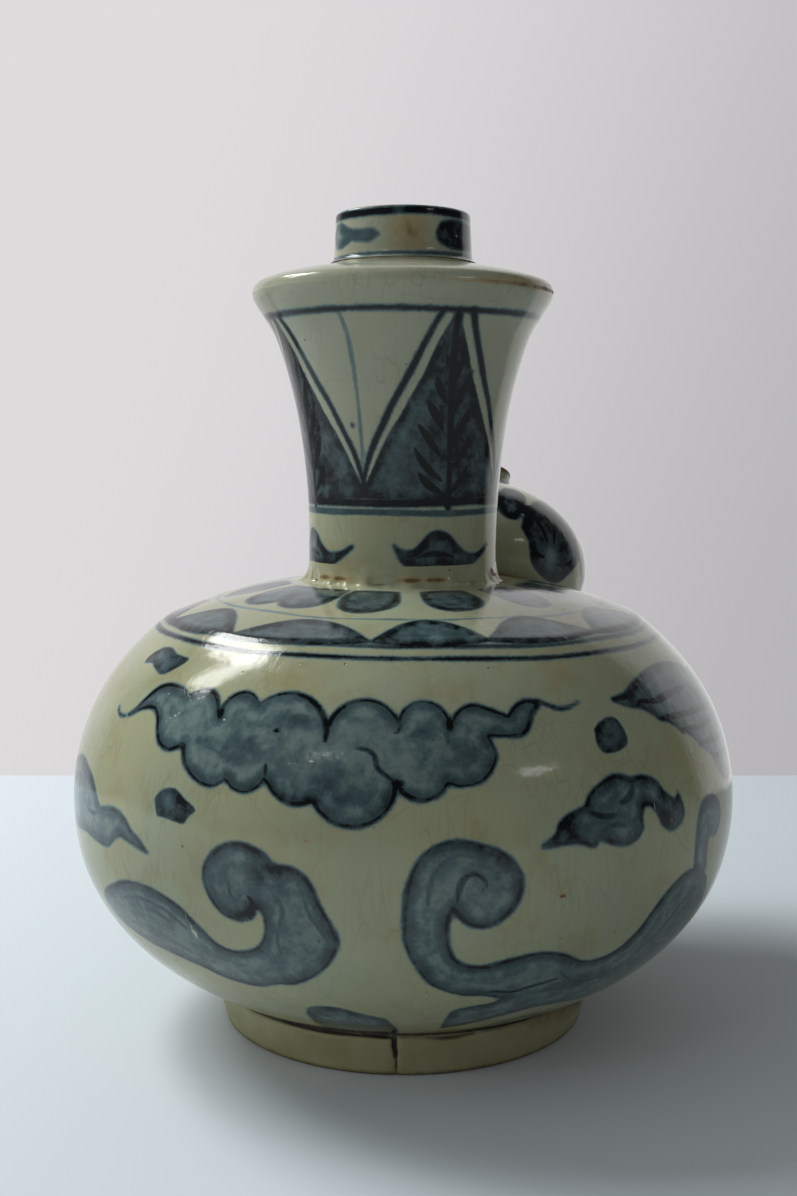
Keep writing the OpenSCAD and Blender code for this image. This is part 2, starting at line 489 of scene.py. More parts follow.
@dataclass(frozen=True)
class Figure:
    """A painted figure: a chain of drawn lines, in degrees round the pot and millimetres along its wall.

    A line of three points is an arc, and a longer one flows through its points.
    """

    lines: tuple[tuple[Point, ...], ...]
    tone: float = 0.5
    line: float = 1.0
    line_tone: float = 0.85

    @staticmethod
    def chain(*runs: Sequence[Point], **brush: float) -> "Figure":
        """Draws a closed outline whose lines each start where the one before ends.

        Args:
            runs: Points of each line after its start; the last line ends where the first starts.
            brush: Tone of the wash, width of the outline and its tone.

        Returns:
            The figure.
        """
        starts = [run[-1] for run in (runs[-1], *runs[:-1])]
        return Figure(tuple((start, *run) for start, run in zip(starts, runs)), **brush)

    def drawn(self, scale: float, closed: bool = True) -> Array:
        """Draws the figure's lines as one smooth outline.

        Args:
            scale: Millimetres per degree round the pot.
            closed: Whether the outline goes back to its start.

        Returns:
            Rows of place round the pot and along the wall, in millimetres.
        """
        rows = [flowing([(a * scale, v) for a, v in line]) for line in self.lines]
        path = section(*rows)
        if closed and np.hypot(*(path[0] - path[-1])) < 1e-4:
            path = path[:-1]
        return path

    def middle(self) -> float:
        """Gives the painting angle of the figure's middle."""
        angles = [a for line in self.lines for a, _ in line]
        return (min(angles) + max(angles)) / 2


def arc_through(rows: Array, count: int = 13) -> Array:
    """Draws an arc from the first to the third of three points, through the second.

    Args:
        rows: The three points.
        count: Number of points on the arc.

    Returns:
        Rows along the arc.
    """
    (ax, ay), (bx, by), (cx, cy) = rows
    twist = 2 * (ax * (by - cy) + bx * (cy - ay) + cx * (ay - by))
    if abs(twist) < 0.5:
        return rows
    squares = (rows**2).sum(axis=1)
    x = float(squares @ (by - cy, cy - ay, ay - by)) / twist
    y = float(squares @ (cx - bx, ax - cx, bx - ax)) / twist
    first, last = np.degrees(np.arctan2(rows[[0, 2], 1] - y, rows[[0, 2], 0] - x))
    way = math.copysign(1, twist)
    sweep = way * (way * (last - first) % 360)
    return arc((x, y), math.hypot(ax - x, ay - y), first, first + sweep, count)


def flowing(points: Sequence[Point], steps: int = 5) -> Array:
    """Draws a smooth line through points, an arc where they are three.

    Args:
        points: Points of the line.
        steps: Steps between two points.

    Returns:
        Rows along the line.
    """
    rows = np.array(points, dtype=float)
    if len(rows) < 3:
        return rows
    if len(rows) == 3:
        return arc_through(rows)
    guide = np.vstack([2 * rows[0] - rows[1], rows, 2 * rows[-1] - rows[-2]])
    drawn = [rows[:1]]
    for i in range(len(rows) - 1):
        a, b, c, d = guide[i : i + 4]
        t = (np.arange(1, steps + 1) / steps)[:, None]
        bow = 2 * b + (c - a) * t + (2 * a - 5 * b + 4 * c - d) * t**2 + (3 * b - a - 3 * c + d) * t**3
        drawn.append(bow / 2)
    return np.vstack(drawn)


FAR = 9.0


@dataclass
class Canvas:
    """A piece's wall laid flat, with the paint on each of its points."""

    angle: Array
    run: Array
    radius: Array
    bare: Array
    layers: dict[str, Array] = field(default_factory=dict)

    # How far the paint's distance is measured past its edge, in millimetres
    WASH_REACH = 3.0
    STROKE_REACH = 2.5
    # The same for a blot, in sizes of the blot
    BLOT_REACH = 4.0
    # Wall above and below a stroke or blot over which the radius is averaged
    SPREAD_REACH = 3.0

    def __post_init__(self) -> None:
        """Starts every layer unpainted."""
        for name in ("wash", "ink", "scuff"):
            self.layers[name] = np.full(len(self.angle), FAR)
            self.layers[name + "_tone"] = np.zeros(len(self.angle))
        for name in ("edge", "edge_tone", "stain"):
            self.layers[name] = np.zeros(len(self.angle))

    def spread(self, low: float, high: float) -> float:
        """Gives millimetres per degree round the pot, between two places along the wall.

        Args:
            low: Lower place along the wall.
            high: Upper place along the wall.

        Returns:
            Millimetres per degree.
        """
        near = ~self.bare & (self.run >= low) & (self.run <= high)
        radius = float(self.radius[near].mean()) if near.any() else float(self.radius.mean())
        return radius * math.pi / 180

    def away(self, middle: float, turn: float = 0.0) -> Array:
        """Gives every angle from a painting angle that is turned round the pot, at most half a turn off."""
        return (self.angle - turn - middle + 180) % 360 - 180

    def seen(self, middle: float, turns: Iterable[float], spacing: Point | None) -> Iterator[Array]:
        """Gives every angle as seen from each place where a figure is repeated.

        Args:
            middle: Painting angle of the figure's middle.
            turns: Turns round the pot at which it is repeated, in degrees.
            spacing: Even spacing round the pot and the angle of one place, instead of turns.

        Returns:
            The angles, once for each place.
        """
        if spacing:
            step, origin = spacing
            yield (self.angle - origin + step / 2) % step - step / 2
            return
        for turn in turns:
            yield self.away(middle, turn) + middle

    def near(self, angle: Array, scale: float, path: Array, reach: float) -> Array:
        """Finds the painted side's points near a path.

        Args:
            angle: Angle of every point in degrees.
            scale: Millimetres per degree round the pot.
            path: Rows of the path.
            reach: Distance from the path that still counts.

        Returns:
            Numbers of the points.
        """
        x = angle * scale
        low = path.min(axis=0) - reach
        high = path.max(axis=0) + reach
        inside = (x > low[0]) & (x < high[0]) & (self.run > low[1]) & (self.run < high[1])
        return np.flatnonzero(inside & ~self.bare)

    def lay(
        self, layer: str, pick: Array, distance: Array, tone: float | Array, **more: float
    ) -> None:
        """Lays paint where it is nearer than what is there; a wash has no outline unless it is given.

        Args:
            layer: Wash, ink, or the pale layer of scuffs and painted glints.
            pick: Points that the paint may reach.
            distance: Distance of those points from the paint's edge, negative within it.
            tone: Strength of the paint.
            more: Values of other layers that are set with it.
        """
        outline = {"edge_tone": 0.0} if layer == "wash" else {}
        nearer = distance < self.layers[layer][pick]
        for name, value in {layer: distance, layer + "_tone": tone, **outline, **more}.items():
            self.layers[name][pick] = np.where(nearer, value, self.layers[name][pick])

    def paint(self, figure: Figure, turns: Iterable[float] = (0,), spacing: Point | None = None) -> None:
        """Fills a figure with a wash and draws its outline.

        Args:
            figure: Figure to paint.
            turns: Turns round the pot at which it is repeated, in degrees.
            spacing: Even spacing round the pot and the angle of one place, instead of turns.
        """
        heights = [v for line in figure.lines for _, v in line]
        scale = self.spread(min(heights), max(heights))
        path = figure.drawn(scale)
        edge_tone = figure.line_tone if figure.line > 0 else 0.0
        for angle in self.seen(figure.middle(), turns, spacing):
            pick = self.near(angle, scale, path, self.WASH_REACH)
            gap, within = edge_distance(angle[pick] * scale, self.run[pick], path)
            signed = np.where(within, -gap, gap)
            self.lay("wash", pick, signed, figure.tone, edge=figure.line / 2, edge_tone=edge_tone)

    def stroke(
        self,
        points: Sequence[Point],
        width: float,
        tone: float,
        turns: Iterable[float] = (0,),
        spacing: Point | None = None,
        layer: str = "ink",
        taper: float = 0.6,
        fade: float = 0.0,
    ) -> None:
        """Draws one stroke of the brush.

        Args:
            points: Places that the stroke goes through.
            width: Width of the stroke in millimetres.
            tone: Strength of the paint.
            turns: Turns round the pot at which it is repeated, in degrees.
            spacing: Even spacing round the pot and the angle of one place, instead of turns.
            layer: Wash, ink, or the pale layer of scuffs and painted glints.
            taper: Share of the width that is lost towards both ends.
            fade: Share of the strength that is lost towards the far end.
        """
        figure = Figure((tuple(points),))
        heights = [v for _, v in points]
        scale = self.spread(min(heights) - self.SPREAD_REACH, max(heights) + self.SPREAD_REACH)
        path = figure.drawn(scale, closed=False)
        for angle in self.seen(figure.middle(), turns, spacing):
            pick = self.near(angle, scale, path, width / 2 + self.STROKE_REACH)
            gap, along = path_distance(angle[pick] * scale, self.run[pick], path)
            press = 1 - taper * np.abs(2 * along - 1) ** 2
            self.lay(layer, pick, gap - press * width / 2, tone * (1 - fade * along))

    def blot(self, spot: Spot, turns: Iterable[float] = (0,)) -> None:
        """Sets down a dark blot of the loaded brush.

        Args:
            spot: Its place, half widths round the pot and along the wall in millimetres, and strength.
            turns: Turns round the pot at which it is repeated, in degrees.
        """
        (middle, height), across, along, tone = spot
        scale = self.spread(height - self.SPREAD_REACH, height + self.SPREAD_REACH)
        for turn in turns:
            size = np.hypot(self.away(middle, turn) * scale / across, (self.run - height) / along)
            pick = np.flatnonzero((size < self.BLOT_REACH) & ~self.bare)
            self.lay("ink", pick, (size[pick] - 1) * min(across, along), tone)

    def ring(
        self,
        run: float,
        width: float,
        tone: float,
        wander: float = 0.3,
        slope: float = 0.0,
        layer: str = "ink",
    ) -> None:
        """Draws a ring round the pot as it turns on the wheel.

        Args:
            run: Place of the ring along the wall.
            width: Width of the line.
            tone: Strength of the paint.
            wander: How far the line strays.
            slope: Rise of the line per degree near the front.
            layer: Wash or ink.
        """
        turn = np.radians(self.angle)
        stray = wander * (np.sin(2 * turn + 0.7 * run) + 0.6 * np.sin(5 * turn + run))
        tilt = slope * 60 * np.sin(turn)
        gap = np.abs(self.run - run - stray - tilt) - width / 2
        pick = np.flatnonzero((gap < self.WASH_REACH) & ~self.bare)
        self.lay(layer, pick, gap[pick], tone)

    def glow(self, spot: Spot, turn: float = 0.0) -> Array:
        """Gives a soft spot's strength at every point, turned round the pot.

        Args:
            spot: The spot.
            turn: Turn round the pot in degrees.

        Returns:
            One strength a point.
        """
        (middle, height), across, along, strength = spot
        soft = np.exp(-((self.away(middle, turn) / across) ** 2) - ((self.run - height) / along) ** 2)
        return strength * soft

    def deepen(self, spot: Spot, turns: Iterable[float] = (0,)) -> None:
        """Lets the wash pool darker round a place, or paler where the strength is negative.

        Args:
            spot: Its place, spread round the pot in degrees and along the wall in millimetres, and strength.
            turns: Turns round the pot at which it is repeated, in degrees.
        """
        for turn in turns:
            self.layers["wash_tone"] += self.glow(spot, turn) * (self.layers["wash_tone"] > 0)

    def stain(self, spots: Iterable[Spot]) -> None:
        """Stains the glaze softly round places; some spots are painted shade.

        Args:
            spots: Place, spread round the pot in degrees and along the wall in millimetres, and strength.
        """
        for spot in spots:
            soft = np.where(self.bare, 0, self.glow(spot))
            self.layers["stain"] = np.maximum(self.layers["stain"], soft)

    def keep(self, piece: bpy.types.Object) -> None:
        """Stores every layer on the piece, one value a point.

        Args:
            piece: The piece.
        """
        for name, values in self.layers.items():
            layer = piece.data.attributes.new(name, "FLOAT", "POINT")
            layer.data.foreach_set("value", values.astype(np.float32))


def leg_distance(x: Array, y: Array, start: Point, end: Point) -> tuple[Array, Array]:
    """Measures points from one straight leg of a path.

    Args:
        x: Places across.
        y: Places along.
        start: Start of the leg.
        end: Its end.

    Returns:
        Each point's squared distance, and how far along the leg its nearest place is, 0 to 1.
    """
    (x0, y0), (x1, y1) = start, end
    dx, dy = x1 - x0, y1 - y0
    t = np.clip(((x - x0) * dx + (y - y0) * dy) / max(dx * dx + dy * dy, 1e-9), 0, 1)
    return (x - x0 - t * dx) ** 2 + (y - y0 - t * dy) ** 2, t


def edge_distance(x: Array, y: Array, path: Array) -> tuple[Array, Array]:
    """Measures points from a closed outline.

    Args:
        x: Places across.
        y: Places along.
        path: Rows of the outline.

    Returns:
        Each point's distance, and whether it is inside.
    """
    best = np.full(len(x), FAR * FAR)
    within = np.zeros(len(x), dtype=bool)
    for start, end in zip(path, np.roll(path, -1, axis=0)):
        np.minimum(best, leg_distance(x, y, start, end)[0], out=best)
        if start[1] != end[1]:
            crossing = (end[0] - start[0]) * (y - start[1]) / (end[1] - start[1]) + start[0]
            within ^= ((start[1] > y) != (end[1] > y)) & (x < crossing)
    return np.sqrt(best), within


def path_distance(x: Array, y: Array, path: Array) -> tuple[Array, Array]:
    """Measures points from a stroke.

    Args:
        x: Places across.
        y: Places along.
        path: Rows of the stroke.

    Returns:
        Each point's distance, and how far along the stroke its nearest place is, 0 to 1.
    """
    best = np.full(len(x), FAR * FAR)
    along = np.zeros(len(x))
    run = run_of(path)
    for i, (start, end) in enumerate(zip(path, path[1:])):
        gap, t = leg_distance(x, y, start, end)
        nearer = gap < best
        best = np.where(nearer, gap, best)
        along = np.where(nearer, (run[i] + t * (run[i + 1] - run[i])) / run[-1], along)
    return np.sqrt(best), along


# Figures of the body, from the widest line up and down


BIG_CLOUD = Figure.chain(
    ((-53.6, 27.4), (-51.9, 30.5), (-50, 33.2), (-47.3, 34.5), (-43.5, 34.2), (-41, 32.8)),
    ((-37.5, 34.7), (-34.4, 33.6), (-32, 29.2)),
    ((-29.4, 35.1), (-25.2, 32.8)),
    ((-18.9, 35.8), (-12.4, 28.4)),
    ((-7, 34.9), (-0.9, 30.2)),
    ((3, 34.7), (7.3, 29.4)),
    ((9, 32.3), (11.4, 33.6), (13.9, 32.7), (17.2, 30.8)),
    ((19.1, 33), (21.1, 33.9), (23.8, 33.4)),
    ((21.6, 30.9), (20, 27.6), (18.1, 26.5), (13.3, 26.8)),
    ((14.1, 22.4), (11.9, 18.2), (8.6, 17), (6.4, 17.7)),
    ((2.5, 14.5), (-1.2, 17.8)),
    ((-6.4, 9.5), (-13.2, 13.9)),
    ((-16.3, 13.1), (-19.2, 14.7), (-21.2, 17.6)),
    ((-24.8, 14.5), (-27.7, 16.6)),
    ((-30.2, 14.9), (-33.4, 15.8), (-36.2, 18.6), (-37.5, 22.2)),
    ((-40.3, 20.7), (-43, 21.6), (-44.6, 24), (-46, 26.8), (-47.6, 28.4)),
    ((-49.5, 28.5), (-51.9, 27.5), (-54.2, 25.8), (-55.5, 25.4)),
    tone=0.35, line=0.95, line_tone=0.95,
)
CLOUD_LINES = (
    (((-60.3, 26.7), (-57.5, 25), (-55.3, 25.5)), 0.7, 0.85),
    (((23.6, 33.5), (24.9, 32.6), (26.9, 31.5), (29, 31.7), (31.2, 32.6)), 0.75, 0.85),
    (((-12.7, 30.5), (-12.3, 28), (-12.4, 25.8)), 1.1, 0.9),
    (((-7.4, 24.7), (-5.5, 24.3), (-4.4, 22.8), (-4, 20.8), (-2.7, 19.3), (-0.9, 18)), 0.9, 0.8),
    (((-0.9, 30.6), (-0.6, 29), (-1.4, 27.8)), 0.9, 0.85),
    (((7.3, 29.8), (6.6, 27.4), (7.2, 25.4)), 0.9, 0.7),
    (((-37.4, 22.4), (-33, 22.6), (-28, 20.6)), 0.7, 0.5),
    (((-13.2, 14), (-10.8, 18), (-6.5, 19)), 0.7, 0.5),
    (((27.5, 11), (29.8, 9.2), (33, 8.8)), 1.5, 0.7),
    (((37, 15), (36.4, 12.4), (34, 11)), 1.5, 0.7),
    (((29.4, 5), (31.4, 6.6), (34.4, 6.4)), 1.2, 0.6),
    (((-21.4, 20.6), (-21.2, 18.8), (-20.9, 17.1)), 1.2, 0.78),
    (((-56.3, 4.5), (-58.4, 3), (-62, 3.4)), 1.1, 0.6),
    (((-66, 8.6), (-71.6, 7.6), (-75.4, 3.6)), 1.2, 0.5),
)
CLOUD_BLOTS = (
    ((-32, 29.9), 0.8, 1.5),
    ((-25.2, 32.4), 0.5, 1.0),
    ((7.3, 29.5), 0.9, 1.8),
    ((-1, 17.7), 1.2, 0.8),
    ((6.4, 17.5), 0.6, 0.6),
    ((17, 30.7), 1.1, 0.5),
    ((-20.6, 27.4), 0.9, 0.6),
)
SPOTS = (
    (
        (-41, 10.6), (-39.6, 12.5), (-37, 13.3), (-34.6, 11.6), (-32.4, 9.9), (-33.6, 8.3), (-34.6, 6.6),
        (-37.4, 7), (-40.1, 7.1),
    ),
    (
        (32.2, 26.4), (34, 27.8), (36.5, 28.5), (38, 27.4), (38.5, 23.4), (36.6, 21.4), (33, 21.1),
        (31.8, 23.4),
    ),
    (
        (-62.6, 37.6), (-62.2, 40.2), (-59.4, 42.6), (-55.8, 43), (-52.2, 41.9), (-47.2, 41.2),
        (-51.3, 36.5), (-55.4, 37), (-58.6, 38.3),
    ),
)
LEFT_CLOUD = Figure.chain(
    ((-44.1, 1), (-46.2, 2.4), (-47.9, 4.4), (-49.8, 5.4), (-52.4, 5.6), (-56.3, 4.5)),
    (
        (-57.9, 6.4), (-60.5, 9.2), (-63.7, 11), (-68.6, 12.4), (-74, 11.4), (-79, 8), (-81, 3), (-78, -2),
        (-72, -3.4),
    ),
    (
        (-63.2, -2.1), (-58.5, -2.6), (-55.2, -2.9), (-53, -2.4), (-51.2, -0.5), (-49.3, 0.7), (-47.3, 0.4),
        (-42.1, -1),
    ),
    tone=0.33, line=0.95, line_tone=0.75,
)
SMALL_CLOUD = Figure.chain(
    ((22.3, 6.4), (23.2, 8.6), (25, 10.1), (27.5, 11.1)),
    ((28.5, 13.3), (30.6, 15.1), (33.6, 16.4), (37, 15.1)),
    ((39.6, 15.2), (42.1, 13.6), (43.8, 11), (46.3, 9)),
    ((47.4, 10.4),),
    ((48.3, 6.8), (47.5, 4.5), (45, 3.1), (42.6, 4.6), (41.5, 7.6), (40, 9.6), (38.4, 9.4)),
    ((37.9, 7.2), (38, 5.2), (36.8, 3.4), (34.8, 2.7), (32.4, 3.3), (29.4, 5)),
    ((28.4, 3.5), (25.4, 4.7), (20, 4.5)),
    tone=0.46, line=0.95, line_tone=0.9,
)
WING = Figure.chain(
    (
        (42.2, 32.9), (46.4, 34.7), (53.8, 37.2), (60.2, 37.7), (66.6, 36.7), (74, 33.6), (82, 28.4),
        (88, 22), (92, 14),
    ),
    ((86, 15.6), (80.6, 14)),
    ((76, 9.6), (72, 8.2), (67.4, 8.1)),
    ((64.4, 10.6), (62.6, 14.4)),
    ((60.4, 16.4), (57.9, 18.6)),
    ((56.2, 20.8), (53.4, 22.4)),
    ((51.5, 24.6), (48.4, 26)),
    ((46.6, 28.2), (44.1, 29.7)),
    ((41.2, 30.5), (38.8, 32)),
    tone=0.36, line=0.9, line_tone=0.75,
)
WING_LINES = (
    (((39, 32), (43, 32.5), (46.6, 34.5), (50, 36)), 1.7, 0.95),
    (((44, 29.8), (46, 30.6), (49.7, 30), (56.9, 30.8), (68, 31)), 1.7, 0.95),
    (((48.6, 26), (55, 25.6), (62.7, 25.2), (77.6, 24.2)), 1.7, 0.95),
    (((53.4, 22.4), (61, 21.7), (70.7, 21.8)), 1.6, 0.95),
    (((58, 18.4), (64.3, 17.7), (75.7, 17.1)), 1.6, 0.95),
    (((62.6, 14.4), (69, 13.6), (78, 14)), 1.5, 0.9),
)
LEFT_SCROLL = Figure.chain(
    (
        (-58.5, -14.8), (-54, -12), (-48, -8.9), (-42, -8.7), (-36.5, -11), (-33, -15), (-30, -18.6),
        (-26.5, -19.5), (-22.6, -17.4), (-20.8, -13.4), (-20.6, -9.3),
    ),
    ((-21.6, -8.2), (-22.7, -9.6)),
    (
        (-24.8, -11.3), (-28, -10), (-30.2, -5.6), (-30.4, -1.2), (-28, 2.8), (-24.5, 4.5), (-21, 3.3),
        (-19, 1),
    ),
    ((-16, 0.6), (-13.6, -1.7), (-12.4, -5.4), (-10.8, -9.7)),
    ((-9.8, -14), (-11.4, -19.3), (-14.8, -24), (-18.5, -26.8), (-21, -27.3)),
    ((-25.5, -29.4), (-31, -28.8), (-36.5, -26.4), (-43, -25), (-52, -23.4), (-57.5, -21.4), (-60.5, -17.5)),
    tone=0.38, line=1.0, line_tone=0.88,
)
RIGHT_SCROLL = Figure.chain(
    (
        (0.3, -3), (1.7, 2.5), (4.2, 5.8), (7.5, 6.9), (11.3, 5.9), (14.8, 3.2), (16.8, -1), (16.4, -5.4),
        (14.4, -9), (11.5, -10.7), (8.8, -9.6), (7, -6.6),
    ),
    (
        (6.2, -9.5), (6.4, -14.5), (8.2, -19), (12, -20.5), (16.5, -19.2), (21, -18.4), (25.4, -19.8),
        (29.4, -22.8), (33, -23.4), (36.6, -22), (39.8, -18.2), (43.4, -12.2), (47.6, -8.4),
        (51.5, -7.6), (55.5, -9),
    ),
    ((59, -13), (60.5, -20), (57.5, -29), (52.7, -36.2), (46, -39.6), (38, -41), (30, -39.4), (25, -38.8)),
    ((19.2, -41.6), (14.1, -44.6), (8.4, -47.5)),
    ((8.3, -42.7), (8.9, -36.4), (12, -34.4), (15.3, -33.7), (17.4, -31.9)),
    ((13.8, -29.9), (9.3, -28.8), (4.4, -25), (1.6, -19), (0.2, -14), (0, -9)),
    tone=0.38, line=1.0, line_tone=0.88,
)
CURL = Figure.chain(
    (
        (52.1, -2.3), (52.5, 2.4), (54.4, 6.1), (57.4, 6.6), (60.5, 5.2), (61.8, 2.6), (61.3, -0.3),
        (59.3, -1.9), (57, -1),
    ),
    ((56.4, -3), (57, -8.5)),
    ((54.5, -9.5), (52.2, -7.5)),
    tone=0.42, line=1.0, line_tone=0.75,
)
SCROLL_LINES = (
    (((-27.1, -1.3), (-26.4, -3), (-25.9, -6.2), (-24.3, -7.6)), 0.9, 0.65),
    (((-23, -5.8), (-22.4, -8.4), (-23.8, -10.8)), 1.6, 0.95),
    (((-22.5, 2.4), (-19.4, 0.6), (-18.4, -2.6)), 2.0, 0.55),
    (((-45.5, -14.5), (-41.4, -14.2), (-38.6, -16.2)), 1.4, 0.5),
    (((-54, -19), (-49.9, -20), (-43, -21), (-36, -22.4)), 0.9, 0.5),
    (((-17.5, -24), (-14.5, -20), (-13.2, -15)), 1.0, 0.5),
    (((-19.7, -3.4), (-17.7, -7.9), (-19.1, -15.4), (-17.8, -22.5)), 1.3, 0.52),
    (((-13.1, -20.3), (-11.2, -14.3), (-13.6, -8.4), (-14.8, -2.8)), 1.3, 0.5),
    (((-52, -14), (-46, -12), (-40, -12.6), (-35.6, -16)), 1.3, 0.55),
    (((7.1, -7), (7.6, -3.9), (8, -1.4), (9.2, 0.3), (10.8, -0.2), (11.6, -2), (10.8, -3.6)), 1.3, 0.75),
    (((3.2, -6), (4, 0), (6.8, 3.8), (10.4, 3.4), (13.4, 0.6)), 1.4, 0.5),
    (((4.4, -9.5), (5.2, -15), (6.6, -19), (9.4, -21.6)), 1.0, 0.5),
    (((9.8, -28.6), (14.2, -28.6), (18.3, -29.5), (21.3, -28.5), (26.5, -27)), 1.2, 0.85),
    (((25.9, -24.9), (28.4, -28), (31.9, -30.5), (35.6, -30.6), (38.7, -29.1), (41.6, -27.1)), 1.0, 0.7),
    (((41.6, -27), (44, -23.7), (46.6, -20.2), (48.6, -17.4), (51.5, -13.9), (56, -13.6)), 1.0, 0.6),
    (((39.9, -31.2), (44.5, -26.4), (48.4, -23.3), (51.1, -20.5), (53, -19.1)), 0.9, 0.5),
    (((31, -26.5), (35, -27.4), (39, -25), (43, -19.5), (46, -15)), 0.9, 0.45),
    (((57, -1), (56.1, 0.6), (57.2, 2)), 0.8, 0.75),
    (((56.5, -14), (57.6, -20), (54.6, -28), (48.6, -34), (40, -37.4)), 1.2, 0.5),
    (((51.6, -17), (52, -22), (48.6, -28), (42, -33)), 1.2, 0.5),
)
ROCKS_AND_SHADE = (
    Figure.chain(
        ((-18.6, -44), (-18.3, -40), (-16.4, -36), (-12, -35), (-7.2, -38), (-3.9, -39.8)),
        ((-2.4, -45.7), (-1.6, -56)),
        ((-10, -57), (-19, -56)),
        tone=0.5, line_tone=0.8,
    ),
    # A faint wash without outline low by the foot, where the body darkens: painted shade
    Figure.chain(
        ((18, -50), (24, -46), (32, -46.4), (40, -56)),
        ((28, -57), (14, -56)),
        tone=0.4, line=0,
    ),
)
DROP = Figure.chain(
    ((-10.5, 74), (-8.5, 67.4), (-3.5, 64.2), (2.5, 64), (8, 66.4), (10.8, 71.4), (10.6, 78.4)),
    ((0, 79), (-9.5, 78.4)),
    tone=0.6, line=0.8, line_tone=0.75,
)
DROP_PLACES = (-36, -12.6, 17.5, *range(46, 310, 29))
PETAL_FEET = (-41, -7.1, 18.3, *np.linspace(47, 319, 10).tolist())
# Deeper pools of the wash: place, spread round in degrees and along in millimetres, strength
POOLS = (
    ((-18.5, 29.9), 3, 1.6, 0.3),
    ((-26.4, 23.8), 3, 2, 0.25),
    ((-32.4, 23.6), 3, 1.2, 0.25),
    ((-28, 21.4), 2.6, 1.2, 0.2),
    ((-17.8, 15), 4, 1.6, 0.2),
    ((-10.8, 16.6), 4, 3, 0.2),
    ((2.6, 27.8), 2.4, 1.6, 0.25),
    ((2.8, 23), 2, 2, 0.25),
    ((10, 23.6), 2.6, 2.2, 0.3),
    ((-4.6, 14.1), 2.6, 1.8, 0.15),
    ((-10.1, 14.6), 2.6, 2.4, 0.12),
    ((-35, 11), 2.4, 2.0, 0.2),
    ((34, 25.6), 2.2, 1.8, 0.25),
    ((24.5, 7.5), 2.4, 2.4, 0.3),
    ((43.5, 6), 2.4, 2.4, 0.3),
    ((-20, -0.8), 3.2, 3.6, 0.32),
    ((-23.5, -9.6), 2, 2.4, 0.4),
    ((14, 1.6), 2.6, 3.2, 0.2),
    ((8, 5.4), 4, 1.8, 0.2),
    ((33, -30), 7, 2.6, 0.2),
    ((45, 33), 5, 1.6, 0.35),
)
# Pale marks, partly scuffs of the glaze and partly painted glints where it shines
SCUFFS_AND_GLINTS = (
    ((-43.8, 26.4), (-41.9, 27.8), (-39.8, 29.8)),
    ((-31.3, 28.3), (-30.7, 28.8), (-30.1, 29)),
    ((-17.7, 20.9), (-16.1, 21.2), (-14.3, 21.5), (-11.6, 23.3), (-9.8, 23.5)),
    ((-35.1, -11.9), (-34.6, -15.5), (-34.3, -17.9)),
    ((-33.5, -14.2), (-33.9, -17.2), (-34.4, -20.3)),
    ((40.6, 10.8), (40.9, 8), (40, 6)),
    ((42.6, 10), (42.7, 8.6), (42.4, 7.4)),
)
# Rings of the shoulder: place, width, tone, wander and slope
SHOULDER_RINGS = (
    (44.9, 1.0, 0.92, 0.1, -0.025),
    (48.2, 0.95, 0.8, 0.2, -0.015),
    (60, 0.5, 0.5, 0.2, -0.025),
)
# Drawn lines of the body, with their taper and fade
BODY_LINES = ((CLOUD_LINES, 0.4, 0.0), (SCROLL_LINES, 0.5, 0.0), (WING_LINES, 0.4, 0.4))
BODY_FIGURES = (BIG_CLOUD, LEFT_CLOUD, SMALL_CLOUD, WING, LEFT_SCROLL, RIGHT_SCROLL, CURL, *ROCKS_AND_SHADE)
BOTH_SIDES = (0, 180)
FOUR_SIDES = (0, 90, 180, 270)


def petal(left: float, right: float) -> Figure:
    """Draws one round-topped petal of the shoulder between its two feet, given in degrees.

    Args:
        left: Angle of the left foot.
        right: Angle of the right foot.

    Returns:
        The petal.
    """
    half = (right - left) / 2
    top = left + half
    rise = ((0.37, 55.4), (0.7, 58.4))
    up = [(left + u * half, s) for u, s in rise]
    down = [(right - u * half, s) for u, s in reversed(rise)]
    runs = ((*up, (top, 59.4)), (*down, (right, 49.6)), ((top, 48.4), (left, 49.6)))
    return Figure.chain(*runs, tone=0.54, line=1.0, line_tone=0.9)


# Finishes


class Value:
    """A number that changes over a surface, for sums written as plain expressions."""

    def __init__(self, tree: "Tree", socket: bpy.types.NodeSocket) -> None:
        """Keeps the socket and the tree that it is in."""
        self.tree = tree
        self.socket = socket

    def sum_of(self, operation: str, *parts: Any, clamp: bool = False) -> "Value":
        """Adds one Math node."""
        inputs = {i: part for i, part in enumerate(parts)}
        return self.tree.node("ShaderNodeMath", {"operation": operation, "use_clamp": clamp}, inputs)

    def __add__(self, other: Any) -> "Value":
        """Adds."""
        return self.sum_of("ADD", self, other)

    __radd__ = __add__

    def __sub__(self, other: Any) -> "Value":
        """Takes other away."""
        return self.sum_of("SUBTRACT", self, other)

    def __rsub__(self, other: Any) -> "Value":
        """Takes this away from other."""
        return self.sum_of("SUBTRACT", other, self)

    def __mul__(self, other: Any) -> "Value":
        """Multiplies."""
        return self.sum_of("MULTIPLY", self, other)

    __rmul__ = __mul__

    def clamp(self) -> "Value":
        """Keeps the value between 0 and 1."""
        return self.sum_of("ADD", self, 0.0, clamp=True)

    def above(self, low: float, high: float) -> "Value":
        """Rises softly from 0 at low to 1 at high.

        Args:
            low: Value that gives 0.
            high: Value that gives 1.

        Returns:
            The soft step.
        """
        settings = {"interpolation_type": "SMOOTHSTEP"}
        return self.tree.node("ShaderNodeMapRange", settings, {0: self, 1: low, 2: high})

    def below(self, high: float, low: float) -> "Value":
        """Rises softly from 0 at high to 1 at low, which is under it."""
        return 1 - self.above(low, high)

    def size(self) -> "Value":
        """Gives the value without its sign."""
        return self.sum_of("ABSOLUTE", self)

    def most(self, other: Any) -> "Value":
        """Gives the greater of two values."""
        return self.sum_of("MAXIMUM", self, other)


